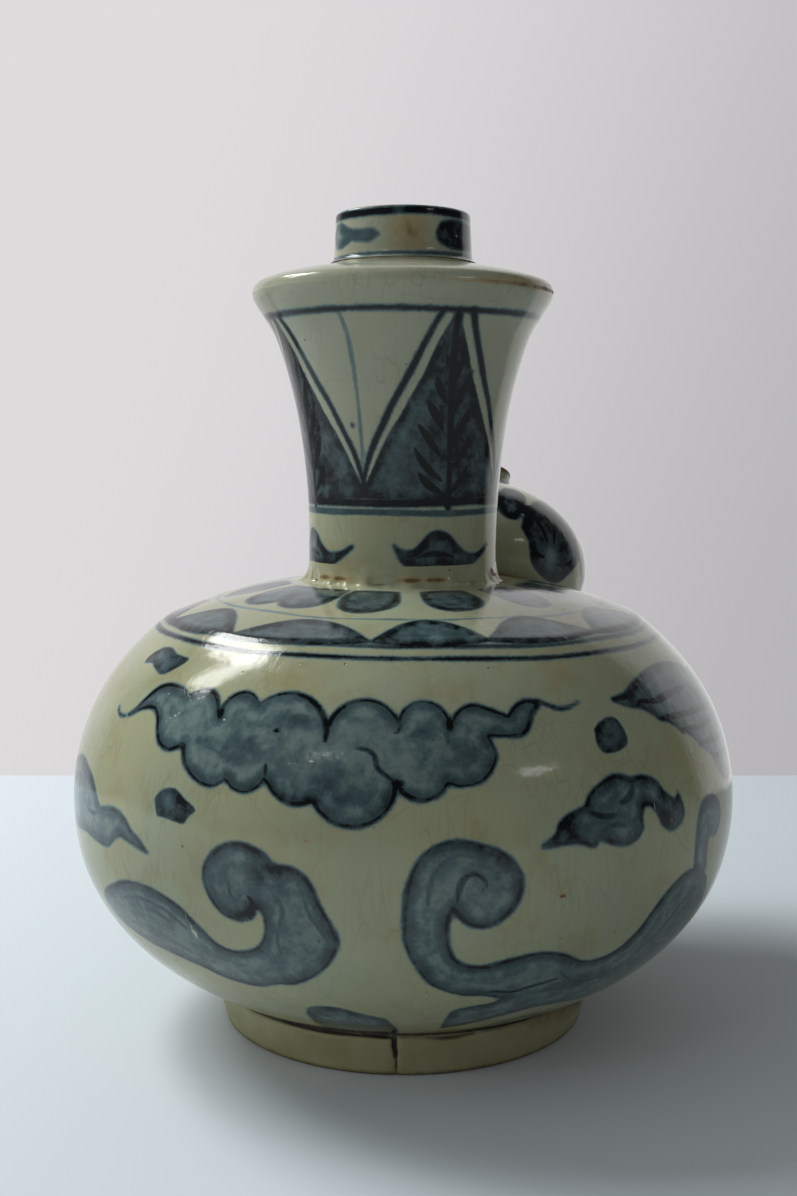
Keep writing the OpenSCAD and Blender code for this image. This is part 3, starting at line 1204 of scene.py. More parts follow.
class Tree:
    """A tree of shader nodes, all made by one method."""

    def __init__(self, tree: bpy.types.NodeTree) -> None:
        """Starts with an empty tree.

        Args:
            tree: Tree to fill.
        """
        self.nodes = tree.nodes
        self.links = tree.links
        self.nodes.clear()

    def node(self, kind: str, settings: dict[str, Any], inputs: dict[Any, Any], output: Any = 0) -> Value:
        """Adds a node.

        Args:
            kind: Type of the node.
            settings: Its settings, set first.
            inputs: Values or links of its sockets, by name or number.
            output: Name or number of the socket that is used.

        Returns:
            The node's output, or its first input where it has none.
        """
        made = self.nodes.new(kind)
        for key, value in settings.items():
            setattr(made, key, value)
        for key, value in inputs.items():
            self.feed(made.inputs[key], value)
        return Value(self, made.outputs[output] if made.outputs else made.inputs[0])

    def feed(self, socket: bpy.types.NodeSocket, value: Any) -> None:
        """Sets a socket to a value, or links it.

        Args:
            socket: Socket of a node.
            value: A number, colour or vector, or a Value to link.
        """
        if isinstance(value, Value):
            self.links.new(value.socket, socket)
        elif isinstance(value, tuple) and len(value) == 3 and socket.type == "RGBA":
            socket.default_value = (*value, 1.0)
        else:
            socket.default_value = value

    def blend(self, share: Value | float, first: Any, second: Any) -> Value:
        """Blends two colours.

        Args:
            share: Share of the second.
            first: First colour.
            second: Second colour.

        Returns:
            The blended colour.
        """
        return self.node("ShaderNodeMix", {"data_type": "RGBA"}, {0: share, 6: first, 7: second}, 2)


class Mix(Tree):
    """A finish's node tree."""

    def __init__(self, name: str) -> None:
        """Starts a material with its shader alone.

        Args:
            name: Name of the material.
        """
        self.material = bpy.data.materials.new(name)
        self.material.use_nodes = True
        super().__init__(self.material.node_tree)
        shader = self.node("ShaderNodeBsdfPrincipled", {}, {})
        self.shader = shader.socket.node
        self.node("ShaderNodeOutputMaterial", {}, {0: shader})

    def give(self, **inputs: Any) -> None:
        """Feeds the shader, with a socket's name written in one word."""
        for name, value in inputs.items():
            self.feed(self.shader.inputs[name.replace("_", " ")], value)

    def layer(self, name: str) -> Value:
        """Reads a layer that is stored on the piece."""
        return self.node("ShaderNodeAttribute", {"attribute_name": name}, {}, "Fac")

    def place(self, stretch: Triple = (1, 1, 1), shift: Triple = (0, 0, 0)) -> Value:
        """Gives places on the piece in millimetres.

        Args:
            stretch: Factors along x, y and z.
            shift: Shift in millimetres.

        Returns:
            The place.
        """
        where = self.node("ShaderNodeTexCoord", {}, {}, "Object")
        scale = tuple(s / MM for s in stretch)
        return self.node("ShaderNodeMapping", {}, {"Vector": where, "Scale": scale, "Location": shift})

    def grain(
        self, size: float, detail: float = 2.0, where: Value | None = None, rough: float = 0.5
    ) -> Value:
        """Gives a soft uneven pattern.

        Args:
            size: Size of its spots in millimetres.
            detail: Number of finer patterns in it.
            where: Place, or None for the piece's own.
            rough: Strength of the finer patterns.

        Returns:
            Values about 0.5.
        """
        inputs = {"Vector": where or self.place(), "Scale": 1 / size, "Detail": detail, "Roughness": rough}
        return self.node("ShaderNodeTexNoise", {}, inputs, "Fac")

    def cells(self, size: float, feature: str, where: Value, output: str = "Distance") -> Value:
        """Gives a pattern of cells.

        Args:
            size: Size of a cell in millimetres.
            feature: What is measured in a cell.
            where: Place.
            output: Output that is used.

        Returns:
            The measure.
        """
        inputs = {"Vector": where, "Scale": 1 / size}
        return self.node("ShaderNodeTexVoronoi", {"feature": feature}, inputs, output)

    def relief(self, height: Value, depth: float) -> Value:
        """Turns heights into fine relief.

        Args:
            height: Heights from 0 to 1.
            depth: Depth in millimetres.

        Returns:
            The surface's normal.
        """
        return self.node("ShaderNodeBump", {}, {"Strength": 1.0, "Distance": depth * MM, "Height": height})


@dataclass(frozen=True)
class PaintedGlaze:
    """Cobalt painting under a grey-green glaze, crackled, stained and scuffed, with painted shade, glints
    and neck sheen in its colour.
    """

    name: str = "painted_glaze"
    ground: Triple = srgb(150, 151, 118)
    ground_cool: Triple = srgb(141, 148, 124)
    ground_warm: Triple = srgb(140, 131, 94)
    # Paler grey high on the neck: partly the glaze's own tone, partly painted sheen
    ground_grey_sheen: Triple = srgb(152, 154, 135)
    wash_pale: Triple = srgb(103, 120, 114)
    wash: Triple = srgb(68, 86, 88)
    ink: Triple = srgb(7, 10, 13)
    # Tan and brown of stains and pinholes; they also colour the painted shade low on the body
    tan: Triple = srgb(152, 135, 98)
    brown: Triple = srgb(84, 68, 34)
    # Pale colour of the scuffs and of the painted glints
    scuff: Triple = srgb(192, 194, 176)
    craze: Triple = srgb(84, 78, 54)
    blotch_size: float = 3.6
    speck_size: float = 0.8
    cloud_size: float = 14.0
    streak_size: float = 1.5
    craze_size: float = 8.0
    hair_size: float = 2.4
    pit_size: float = 5.0
    grey_sheen_z: Point = (114, 138)
    relief: float = 0.16
    ior: float = 1.4

    def cobalt(self, mix: Mix) -> Value:
        """Gives the strength of the cobalt, 0 where bare and 1 where blackest.

        Args:
            mix: Node tree of the finish.

        Returns:
            The strength.
        """
        blotch = mix.grain(self.blotch_size, 4, rough=0.6)
        fine = mix.grain(self.speck_size, 2)
        broad = mix.grain(self.cloud_size, 1)
        load = blotch.above(0.3, 0.7)
        stray = (fine - 0.5) * 0.4 + (blotch - 0.5) * 0.7
        away = mix.layer("wash")
        edge = away + stray
        path = {0: away + 3 * broad, 1: 2 * blotch, 2: 1.5 * broad}
        brushed = mix.node("ShaderNodeCombineXYZ", {}, path)
        streak = (mix.grain(self.streak_size, 2, brushed) - 0.5) * 0.6
        mottle = 0.68 + 0.54 * load + 0.5 * (broad - 0.5) + 0.3 * (fine - 0.5) + streak
        body = mix.layer("wash_tone") * mottle
        paint = edge.below(0.35, -0.35) * (body + 0.26 * edge.above(-2.8, -0.2))
        outline = (away + 0.15).size() - mix.layer("edge")
        lines = (
            (outline, mix.layer("edge_tone"), 1.1, 0.6 + 0.5 * load),
            (mix.layer("ink"), mix.layer("ink_tone"), 0.5, 0.82 + 0.3 * load),
        )
        for line, tone, sway, press in lines:
            uneven = line + stray + (broad - 0.5) * sway
            core = uneven.below(0.5, -0.45) * press
            paint = paint.most(tone * (core + 0.1 * uneven.below(1.5, 0.0)))
        return paint.clamp()

    def bare(self, mix: Mix) -> Value:
        """Gives the colour of the unpainted glaze, paler and greyer high up, partly as painted sheen.

        Args:
            mix: Node tree of the finish.

        Returns:
            The colour.
        """
        broad = mix.grain(34.0, 3).above(0.35, 0.7)
        warm = mix.grain(11.0, 5, mix.place((1, 1, 1), (40, 7, 3)), 0.62).above(0.44, 0.76)
        colour = mix.blend(broad * 0.85, self.ground, self.ground_cool)
        colour = mix.blend(warm * 0.75, colour, self.ground_warm)
        # Greyer and paler up the neck: partly the glaze's tone, partly painted sheen
        height = mix.node("ShaderNodeSeparateXYZ", {}, {0: mix.place()}, 2)
        return mix.blend(height.above(*self.grey_sheen_z) * 0.7, colour, self.ground_grey_sheen)

    def crazing(self, mix: Mix) -> Value:
        """Gives the crackle's fine lines, long ones upright and a faint net.

        Args:
            mix: Node tree of the finish.

        Returns:
            Their strength.
        """
        where = mix.place((1.0, 1.0, 0.3))
        sway = mix.node("ShaderNodeTexNoise", {}, {"Vector": where, "Scale": 0.12, "Detail": 2.0}, "Color")
        inputs = {0: sway, 1: (3.0, 3.0, 3.0), 2: where}
        bent = mix.node("ShaderNodeVectorMath", {"operation": "MULTIPLY_ADD"}, inputs)
        net = mix.cells(self.craze_size, "DISTANCE_TO_EDGE", bent).below(0.016, 0.004)
        upright = mix.place((1.0, 1.0, 0.16))
        hair = mix.cells(self.hair_size, "DISTANCE_TO_EDGE", upright).below(0.06, 0.02)
        shown = mix.grain(13.0, 3).above(0.46, 0.66)
        return (net * (0.35 + 0.5 * shown)).most(hair * shown * 0.75)

    def pits(self, mix: Mix) -> Value:
        """Gives small pinholes in the glaze.

        Args:
            mix: Node tree of the finish.

        Returns:
            Their strength.
        """
        where = mix.place()
        near = mix.cells(self.pit_size, "F1", where)
        lot = mix.cells(self.pit_size, "F1", where, "Color")
        few = mix.node("ShaderNodeSeparateColor", {}, {0: lot}, 0).above(0.7, 0.74)
        return near.below(0.085, 0.03) * few

    def make(self) -> bpy.types.Material:
        """Mixes the finish.

        Returns:
            The material.
        """
        mix = Mix(self.name)
        cobalt = self.cobalt(mix)
        fine = mix.grain(1.4, 3)
        # Stains, and painted shade low on the body
        stain = mix.layer("stain") * (0.35 + 1.3 * mix.grain(2.6, 4, rough=0.6))
        deep = stain.above(0.5, 0.85)
        stained = mix.blend(stain.above(0.25, 0.55) * 0.85, self.bare(mix), self.tan)
        stained = mix.blend(deep * 0.9, stained, self.brown)
        crazing = self.crazing(mix)
        crazed = mix.blend(crazing * 0.24, stained, self.craze)
        washed = mix.blend(cobalt.above(0.02, 0.2), crazed, self.wash_pale)
        washed = mix.blend(cobalt.above(0.2, 0.48), washed, self.wash)
        inked = mix.blend(((cobalt - 0.44) * 2.2).clamp(), washed, self.ink)
        pits = self.pits(mix)
        pitted = mix.blend(pits * 0.7, inked, self.brown)
        # Pale scuffs and painted glints
        scuff = mix.layer("scuff").below(0.15, -0.1) * mix.layer("scuff_tone") * fine.above(0.35, 0.6)
        rough = 0.08 + 0.05 * mix.grain(9.0, 3) + 0.5 * deep + 0.04 * fine + 0.3 * scuff
        height = mix.grain(6.0, 2) * 0.7 + fine * 0.1 - pits * 0.6 - crazing * 0.06 - cobalt * 0.08
        colour = mix.blend(scuff, pitted, self.scuff)
        normal = mix.relief(height, self.relief)
        mix.give(Base_Color=colour, Roughness=rough, Normal=normal, IOR=self.ior)
        return mix.material


@dataclass(frozen=True)
class FootClay:
    """Thin olive glaze over the foot's clay, worn to brown at its edges, with brown painted shade at its
    right and top.
    """

    name: str = "foot_clay"
    glaze: Triple = srgb(138, 135, 96)
    pale: Triple = srgb(152, 150, 114)
    brown: Triple = srgb(84, 70, 42)
    dark: Triple = srgb(30, 26, 19)

    def make(self) -> bpy.types.Material:
        """Mixes the finish.

        Returns:
            The material.
        """
        mix = Mix(self.name)
        mottle = mix.grain(7.0, 4).above(0.3, 0.72)
        colour = mix.blend(mottle * 0.8, self.glaze, self.pale)
        # Brown of the worn edges and of the painted shade at the foot's right and top
        worn = (mix.layer("stain") * (0.45 + 1.1 * mix.grain(2.2, 4, rough=0.65))).above(0.22, 0.8)
        colour = mix.blend(worn * 0.85, colour, self.brown)
        crack = mix.layer("ink").below(0.3, -0.05) * mix.layer("ink_tone")
        colour = mix.blend(crack, colour, self.dark)
        fine = mix.grain(0.9, 3)
        height = fine * 0.4 + mix.grain(4.0, 2) * 0.6 - crack * 0.8
        rough = 0.36 + 0.3 * worn + 0.15 * fine
        mix.give(Base_Color=colour, Roughness=rough, Normal=mix.relief(height, 0.2))
        return mix.material


@dataclass(frozen=True)
class Slip:
    """Slip that shows in a joint, under thin glaze."""

    name: str
    pale: Triple = srgb(150, 134, 92)
    brown: Triple = srgb(104, 76, 36)
    share: float = 0.6
    rough: float = 0.32

    def make(self) -> bpy.types.Material:
        """Mixes the finish.

        Returns:
            The material.
        """
        mix = Mix(self.name)
        patch = mix.grain(5.0, 4, rough=0.6).above(0.34, 0.64)
        fine = mix.grain(1.0, 3)
        colour = mix.blend(patch * self.share, self.pale, self.brown)
        rough = self.rough + 0.2 * fine
        mix.give(Base_Color=colour, Roughness=rough, Normal=mix.relief(fine, 0.15))
        return mix.material


# Pieces


class Piece:
    """A made piece of the kendi: turned on the wheel, trimmed, painted, stained, given painted shade in
    places and eased by hand.

    Points nearer to the axis than skin_r stay unpainted, and a flat piece is painted along its radius.
    """

    name: str
    steps: int = 300
    nodes: tuple[str, ...] = ()
    slot: Slot = Slot.GLAZE
    skin_r: float = 0.0
    flat: bool = False
    by_hand: bool = False
    STAINS_AND_SHADE: tuple[Spot, ...] = ()

    def rows(self) -> Array:
        """Gives the section that is turned, as rows of radius and height."""
        raise NotImplementedError

    def trim(self, piece: bpy.types.Object) -> None:
        """Seats or cuts the turned piece, where it needs that."""

    def bare(self, points: Array) -> Array:
        """Tells which points lie on a side that isn't painted."""
        return off_axis(points) < self.skin_r

    def canvas(self, points: Array) -> Canvas:
        """Lays the piece's wall flat.

        Args:
            points: Rows of x, y and z in millimetres.

        Returns:
            The canvas, unpainted.
        """
        radius = off_axis(points)
        run = radius if self.flat else points[:, 2]
        return Canvas(painting_angle(points), run, radius, self.bare(points))

    def paint(self, canvas: Canvas) -> None:
        """Paints the canvas, where the piece is painted."""

    def eased(self, points: Array, canvas: Canvas) -> Array:
        """Gives the points as the hand leaves them.

        Args:
            points: Rows of x, y and z in millimetres.
            canvas: The painted canvas; not used here.

        Returns:
            The moved rows, or the same rows where the wheel's form stays.
        """
        return swell_by_hand(points) if self.by_hand else points

    def build(self, material: bpy.types.Material) -> None:
        """Makes the piece, dresses it, hangs it under the root body and hides the solids that it stands for.

        Args:
            material: Its finish.
        """
        piece = Wheel.turn(self.name, self.rows(), self.steps)
        self.trim(piece)
        points = places(piece)
        canvas = self.canvas(points)
        self.paint(canvas)
        canvas.stain(self.STAINS_AND_SHADE)
        canvas.keep(piece)
        moved = self.eased(points, canvas)
        if moved is not points:
            put(piece, moved)
        Wheel.smooth(piece)
        piece.data.materials.clear()
        piece.data.materials.append(material)
        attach(piece, "root")
        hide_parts(*self.nodes)
        LOG.info("%s: %d points", piece.name, len(piece.data.vertices))


@dataclass
class FootRing(Piece):
    """The foot ring, with its worn edges, its crack, and painted shade on its right side and under its top
    edge.
    """

    top_r: float = 46.0
    rest_r: float = 43.5
    height: float = 10.0
    wall: float = 5.0
    edge: float = 0.8
    bevel: float = 0.7
    bevel_drop: float = 0.5
    crack_angle: float = -2.4
    groove: float = 0.8
    sag: float = 0.14
    name = "foot_ring_glazed"
    steps = 420
    skin_r = 42.6
    nodes = ("foot_ring",)
    slot = Slot.FOOT_CLAY

    # Open stretches of the joint left of the crack: start and end in degrees from it, and width
    OPEN_JOINT = ((0.2, 47, 0.4), (0.2, 9, 0.6), (14, 34, 0.8))
    INSIDE_STAIN = 0.7

    def rows(self) -> Array:
        """Follows the ring out over its rest, up its side, across its top and down its inside.

        Returns:
            Rows of radius and height.
        """
        inner = self.rest_r - self.wall
        out = arc((self.rest_r - self.edge, self.edge), self.edge, -90, -10, 5)
        back = arc((inner + self.edge, self.edge), self.edge, 190, 270, 5)
        shoulder = (self.top_r - self.bevel / 2, self.height - self.bevel_drop)
        top = (self.top_r - self.bevel, self.height)
        inside = (self.top_r - self.wall, self.height)
        return section(
            out,
            even([tuple(out[-1]), shoulder, top], 0.6),
            even([top, inside], 2.5),
            even([inside, tuple(back[0])], 2.0),
            back,
            out[:1],
        )

    def paint(self, canvas: Canvas) -> None:
        """Draws the crack and open joint, browns the worn rest, and paints shade at the right and under the
        top.

        Args:
            canvas: The piece's canvas.
        """
        down = self.crack_angle
        canvas.stroke(((down, 9.7), (down - 0.2, 7.2), (down + 0.1, 6), (down, 4.6)), 0.95, 1.0, taper=0.3)
        canvas.stroke(((down, 5), (down + 0.2, 2.6), (down, 0.4)), 0.4, 0.8)
        for start, end, width in self.OPEN_JOINT:
            gap = ((down - start, 9.35), (down - (start + end) / 2, 9.6), (down - end, 9.7))
            canvas.stroke(gap, width, 1.0)
        canvas.stroke(((6, 9.4), (12, 9.2), (20, 9.5)), 0.5, 0.85)
        rest = np.clip(1.2 - canvas.run / 1.6, 0, 1) * 0.75
        # Painted shade: browner towards the right, away from the light, and under the top edge, in the
        # body's shadow
        right = ramp(canvas.angle, 5, 60) * ramp(canvas.run, 1, 8) * 0.8
        top = ramp(canvas.run, 8.2, 1.6) * 0.55
        # Wear at the rest together with the painted shade
        worn = np.maximum(np.maximum(rest, right), top)
        canvas.layers["stain"] = np.where(canvas.bare, self.INSIDE_STAIN, worn)

    def eased(self, points: Array, canvas: Canvas) -> Array:
        """Opens the crack and lets the top edge sag a little.

        Args:
            points: Rows of x, y and z in millimetres.
            canvas: The piece's canvas.

        Returns:
            The moved rows.
        """
        groove = np.clip(0.5 - canvas.layers["ink"], 0, self.groove) * (canvas.layers["ink_tone"] > 0)
        moved = drawn_in(points, np.where(canvas.bare, 0, groove))
        wave = np.cos(3 * np.radians(canvas.angle) + 1) - 1
        moved[:, 2] += self.sag * ramp(points[:, 2], 0, self.height) * wave
        return moved


class BodyHalf(Piece):
    """A thrown half of the body, painted along its wall from the widest line, up or down."""

    steps = 600
    by_hand = True
    way: int = 1
    skin: float = 0.6

    def canvas(self, points: Array) -> Canvas:
        """Lays the half's outer wall flat; its hollow and its seat stay bare.

        Args:
            points: Rows of x, y and z in millimetres.

        Returns:
            The canvas, unpainted.
        """
        wall = BODY.above() if self.way > 0 else BODY.below()
        level = wall[:, 1] * self.way
        height = points[:, 2] * self.way
        radius = off_axis(points)
        run = self.way * np.interp(height, level, run_of(wall))
        hollow = radius < np.interp(height, level, wall[:, 0]) - self.skin
        seat = points[:, 2] < BODY.seat_z + 0.01
        return Canvas(painting_angle(points), run, radius, hollow | seat)

    def paint(self, canvas: Canvas) -> None:
        """Paints the clouds, scrolls, leaves and petals, the same set on the front and the back.

        Args:
            canvas: The piece's canvas.
        """
        for figure in BODY_FIGURES:
            canvas.paint(figure, BOTH_SIDES)
        for points in SPOTS:
            canvas.paint(Figure((points,), tone=0.5, line=0), BOTH_SIDES)
        for lines, taper, fade in BODY_LINES:
            for points, width, tone in lines:
                canvas.stroke(points, width, tone, BOTH_SIDES, taper=taper, fade=fade)
        for place, across, along in CLOUD_BLOTS:
            canvas.blot((place, across, along, 0.95), BOTH_SIDES)
        for ring in SHOULDER_RINGS:
            canvas.ring(*ring)
        for left, right in zip(PETAL_FEET, PETAL_FEET[1:]):
            canvas.paint(petal(left, right))
        canvas.paint(DROP, DROP_PLACES)
        for pool in POOLS:
            canvas.deepen(pool, BOTH_SIDES)
        # Pale scuffs and painted glints, on the front only
        for points in SCUFFS_AND_GLINTS:
            canvas.stroke(points, 0.45, 0.7, layer="scuff")


@dataclass
class LowerBody(BodyHalf):
    """The lower half of the body."""

    step: float = 0.74
    inside_step: float = 4.5
    well_step: float = 3.0
    name = "lower_body_painted"
    way = -1
    skin = 0.4
    nodes = ("lower_body",)

    STAINS_AND_SHADE = (
        # The first two brown the lowest band of the body, above the foot: painted shade under the belly
        ((-20, -57), 60, 3.0, 0.55),
        ((40, -57), 50, 4.0, 0.6),
        ((23.4, -5.7), 0.7, 0.7, 1.1),
        ((23.2, -4.9), 3.4, 0.9, 0.5),
        ((34.3, -6.4), 0.5, 0.5, 0.9),
        ((38.4, -11.5), 0.5, 0.5, 0.9),
    )

    def rows(self) -> Array:
        """Follows the half from its underside out over the seat, up its wall and down the hollow.

        Returns:
            Rows of radius and height.
        """
        return section(
            even(BODY.well(), self.well_step),
            even([(BODY.well_r, BODY.seat_z), (BODY.seat_r - 0.5, BODY.seat_z)], 2.0),
            even(BODY.below()[::-1], self.step),
            [(BODY.radius - BODY.wall, BODY.belly_z)],
            even(BODY.bowl()[::-1], self.inside_step),
        )


@dataclass
class UpperBody(BodyHalf):
    """The upper half of the body, with the pour hole under the spout."""

    step: float = 0.7
    inside_step: float = 5.0
    hole_r: float = 8.0
    hole_reach: float = 46.0
    name = "upper_body_painted"
    nodes = ("upper_body",)

    STAINS_AND_SHADE = (
        ((4, 81.4), 24, 1.0, 0.5),
        ((75, 81), 18, 1.4, 0.5),
        ((-13.9, 6.4), 0.5, 0.5, 0.9),
        ((47, 31), 3, 4.0, 0.3),
    )

    def rows(self) -> Array:
        """Follows the half up its wall to the neck and back down inside.

        Returns:
            Rows of radius and height.
        """
        outer = BODY.above()
        inner = BODY.above(-BODY.wall, BODY.neck_in_r)
        return section(
            even(outer, self.step),
            [(BODY.neck_in_r, BODY.belly_z + BODY.rise)],
            even(inner[::-1], self.inside_step),
            outer[:1],
        )

    def trim(self, piece: bpy.types.Object) -> None:
        """Cuts the pour hole.

        Args:
            piece: The piece.
        """
        low, side = -self.hole_reach, self.hole_r
        drill = Wheel.turn("drill", np.array([(0.0, low), (side, low), (side, 0.0), (0.0, 0.0)]), 48)
        SPOUT.seat(drill)
        Wheel.cut(piece, drill)


@dataclass
class BellySeam(Piece):
    """Slip squeezed out inside the widest line."""

    ridge: float = 1.6
    sink: float = 0.02
    name = "belly_seam"
    steps = 180
    by_hand = True
    nodes = ("belly_slip",)
    slot = Slot.SLIP

    def rows(self) -> Array:
        """Follows the ridge that shows inside the body."""
        bead = arc((BODY.radius - BODY.wall - self.sink, BODY.belly_z), self.ridge, 90, 270, 12)
        return section(bead, bead[:1])


@dataclass
class Neck(Piece):
    """The flaring neck with its plantain leaves and rounded lip."""

    foot_z: float = 105.8
    throat_r: float = 22.5
    flare_r: float = 32.4
    flare_z: float = 166.4
    flange_r: float = 35.4
    flange_z: float = 171.6
    bore_r: float = 18.9
    bore_z: float = 127.8
    inner_r: float = 30.9
    step: float = 0.55
    inside_step: float = 3.5
    skin: float = 0.6
    name = "neck_painted"
    nodes = ("neck",)

    LEAF_SPACING = (90.0, 22.0)
    CLOUD_SPACING = (90.0, 27.0)
    WALL = ((22.5, 116), (22.75, 126), (24, 138), (26.1, 149.3), (29.5, 160.8))
    TIP = (0, 166.4)
    LEAF_FOOT = (0, 124.2)
    LEAF_SIDE = (
        (4, 162), (8, 158), (12.6, 152.6), (17.5, 148.4), (22.5, 144.4), (28, 140.6), (33, 137),
        (39.6, 131.6), (48, 125),
    )
    EDGE = (
        (6, 166.2), (9, 163), (12.3, 159.6), (17.2, 154.6), (22.2, 150.2), (27, 146.6), (32, 142.2),
        (37, 138), (41.2, 134), (45.2, 128.6),
    )
    STEM = ((0.3, 165), (2, 151), (3.6, 140), (4.6, 130), (4.3, 123))
    VEINS = (
        ((-10, 147), (-5, 143.4), (-0.5, 140)),
        ((-14, 141.4), (-8, 138), (-0.5, 134)),
        ((-16, 136.4), (-9, 132), (0, 129)),
        ((-14, 131), (-6, 127.6), (1, 126)),
        ((-6, 152), (-3, 148.6), (0.4, 146)),
        ((12, 153), (7, 147), (3.4, 143)),
        ((16, 146.4), (10, 141), (4.4, 137)),
        ((17, 140), (11, 134.6), (5, 131)),
        ((17, 133), (11, 128.6), (5, 126)),
        ((7, 157), (4, 152.6), (2, 149.6)),
    )
    BETWEEN = ((-26.1, 166), (-24.5, 160), (-23.7, 154), (-23.3, 145), (-22.7, 133))
    CLOUD = Figure.chain(
        ((-29, 113.6), (-24, 113.2), (-19.5, 113.9), (-16, 115.2)),
        ((-11, 117.1), (-6, 117.5), (0, 116.6), (5, 114.5)),
        ((10, 113), (16, 112.2), (24, 112.6), (32, 114.1)),
        (
            (26, 112.2), (20, 110.7), (12, 109.7), (2, 109.7), (-6, 110.3), (-14, 109.9), (-22, 109.7),
            (-28, 110.9), (-32.5, 114.6),
        ),
        tone=0.56, line=0.8, line_tone=0.95,
    )
    CLOUD_LINE = ((-20, 111.6), (-8, 112.6), (4, 111.6))
    STAINS_AND_SHADE = (
        ((60, 172.2), 42, 1.3, 0.6),
        ((-50, 172.4), 60, 0.7, 0.1),
        ((150, 172.2), 60, 1.0, 0.3),
    )

    def outer(self) -> Array:
        """Follows the neck's outer wall up from its foot to the turn of its lip.

        Returns:
            Rows of radius and height.
        """
        turn = (self.flare_r, self.flare_z)
        lip = bend(turn, (self.flange_r, self.flange_z - 1.1), (self.flange_r, self.flange_z), 16)
        return section([(self.throat_r, self.foot_z)], flowing([*self.WALL, turn], 20), lip)

    def rows(self) -> Array:
        """Follows the neck up its outer wall and back down its bore.

        Returns:
            Rows of radius and height.
        """
        outer = self.outer()
        throat = bend((self.bore_r, self.bore_z), (20.2, 150), (self.inner_r, self.flange_z), 40)
        inner = section([(self.bore_r, self.foot_z)], throat)
        return section(even(outer, self.step), even(inner[::-1], self.inside_step), outer[:1])

    def bare(self, points: Array) -> Array:
        """Tells which points lie in the bore."""
        outer = self.outer()
        return off_axis(points) < np.interp(points[:, 2], outer[:, 1], outer[:, 0]) - self.skin

    def leaf(self) -> Figure:
        """Draws one leaf, the same on both sides of its stem.

        Returns:
            The leaf.
        """
        other = tuple((-a, z) for a, z in reversed(self.LEAF_SIDE))
        foot = (self.LEAF_FOOT, other[0])
        return Figure.chain(self.LEAF_SIDE, foot, (*other[1:], self.TIP), tone=0.6, line=0)

    def paint(self, canvas: Canvas) -> None:
        """Paints the plantain leaves, the rings and the small clouds.

        Args:
            canvas: The piece's canvas.
        """
        canvas.paint(self.leaf(), spacing=self.LEAF_SPACING)
        for side in (1, -1):
            edge = [(side * a, z) for a, z in self.EDGE]
            canvas.stroke(edge, 1.3, 1.0, spacing=self.LEAF_SPACING, taper=0.15)
        canvas.stroke(self.STEM, 2.1, 1.0, spacing=self.LEAF_SPACING, taper=0.3)
        for vein in self.VEINS:
            canvas.stroke(vein, 2.1, 1.0, spacing=self.LEAF_SPACING, taper=0.7)
        canvas.stroke(self.BETWEEN, 0.6, 0.4, BOTH_SIDES, taper=0.2)
        canvas.blot(((-27.7, 141.4), 0.4, 0.4, 0.8))
        canvas.blot(((-22.6, 127.2), 1.1, 1.9, 0.95), BOTH_SIDES)
        canvas.ring(166.2, 0.95, 0.97, 0.12)
        canvas.ring(124.2, 1.7, 0.97, 0.12)
        canvas.ring(121.9, 1.5, 0.3, 0.15, layer="wash")
        canvas.paint(self.CLOUD, spacing=self.CLOUD_SPACING)
        canvas.deepen(((36, 140), 11, 13, 0.25), FOUR_SIDES)
        canvas.deepen(((20, 150), 6, 9, 0.25), FOUR_SIDES)
        canvas.deepen(((-44, 129), 7, 5, 0.2), BOTH_SIDES)
        canvas.stroke(self.CLOUD_LINE, 1.6, 0.85, spacing=self.CLOUD_SPACING)


@dataclass
class NeckJoint(Piece):
    """Slip smoothed into a hollow curve round the foot of the neck."""

    foot_r: float = 24.95
    foot_z: float = 105.0
    bore_r: float = 18.9
    neck_r: float = 22.46
    neck_z: float = 105.8
    top_r: float = 22.56
    top_z: float = 109.8
    name = "neck_joint"
    skin_r = 22.5
    nodes = ("neck_slip",)
    slot = Slot.SLIP

    PULL = (22.8, 105.6)
    # Dabs round the joint: their number, depth as a share of the radius and start in radians
    DABS = ((7, 0.022, 0), (13, 0.017, 1), (29, 0.012, 0))
    DAB_DEPTH = 0.03
    STAINS_AND_SHADE = (
        *(((turn, 106.7), 9, 0.8, 0.95) for turn in (-52, -38, 4, 18, 72, 130, 200, 262)),
        ((66, 107.4), 4, 1.3, 1.3),
        ((-50, 106.4), 90, 1.2, 0.15),
    )

    def rows(self) -> Array:
        """Follows the slip out along the shoulder, up its hollow curve and back under the neck.

        Returns:
            Rows of radius and height.
        """
        foot = (self.foot_r, self.foot_z)
        bore = (self.bore_r, self.foot_z)
        return section(
            even([bore, foot], 2.0),
            bend(foot, self.PULL, (self.top_r, self.top_z), 16),
            [(self.neck_r, self.top_z), (self.neck_r, self.neck_z), (self.bore_r, self.neck_z), bore],
        )

    def eased(self, points: Array, canvas: Canvas) -> Array:
        """Dabs the slip uneven, less where it meets the neck.

        Args:
            points: Rows of x, y and z in millimetres.
            canvas: The piece's canvas.

        Returns:
            The moved rows.
        """
        turn = np.radians(canvas.angle)
        free = ramp(canvas.radius, 22.6, 1.2)
        waves = sum(share * np.sin(count * turn + start) for count, share, start in self.DABS)
        return drawn_in(points, canvas.radius * free * (self.DAB_DEPTH - waves))


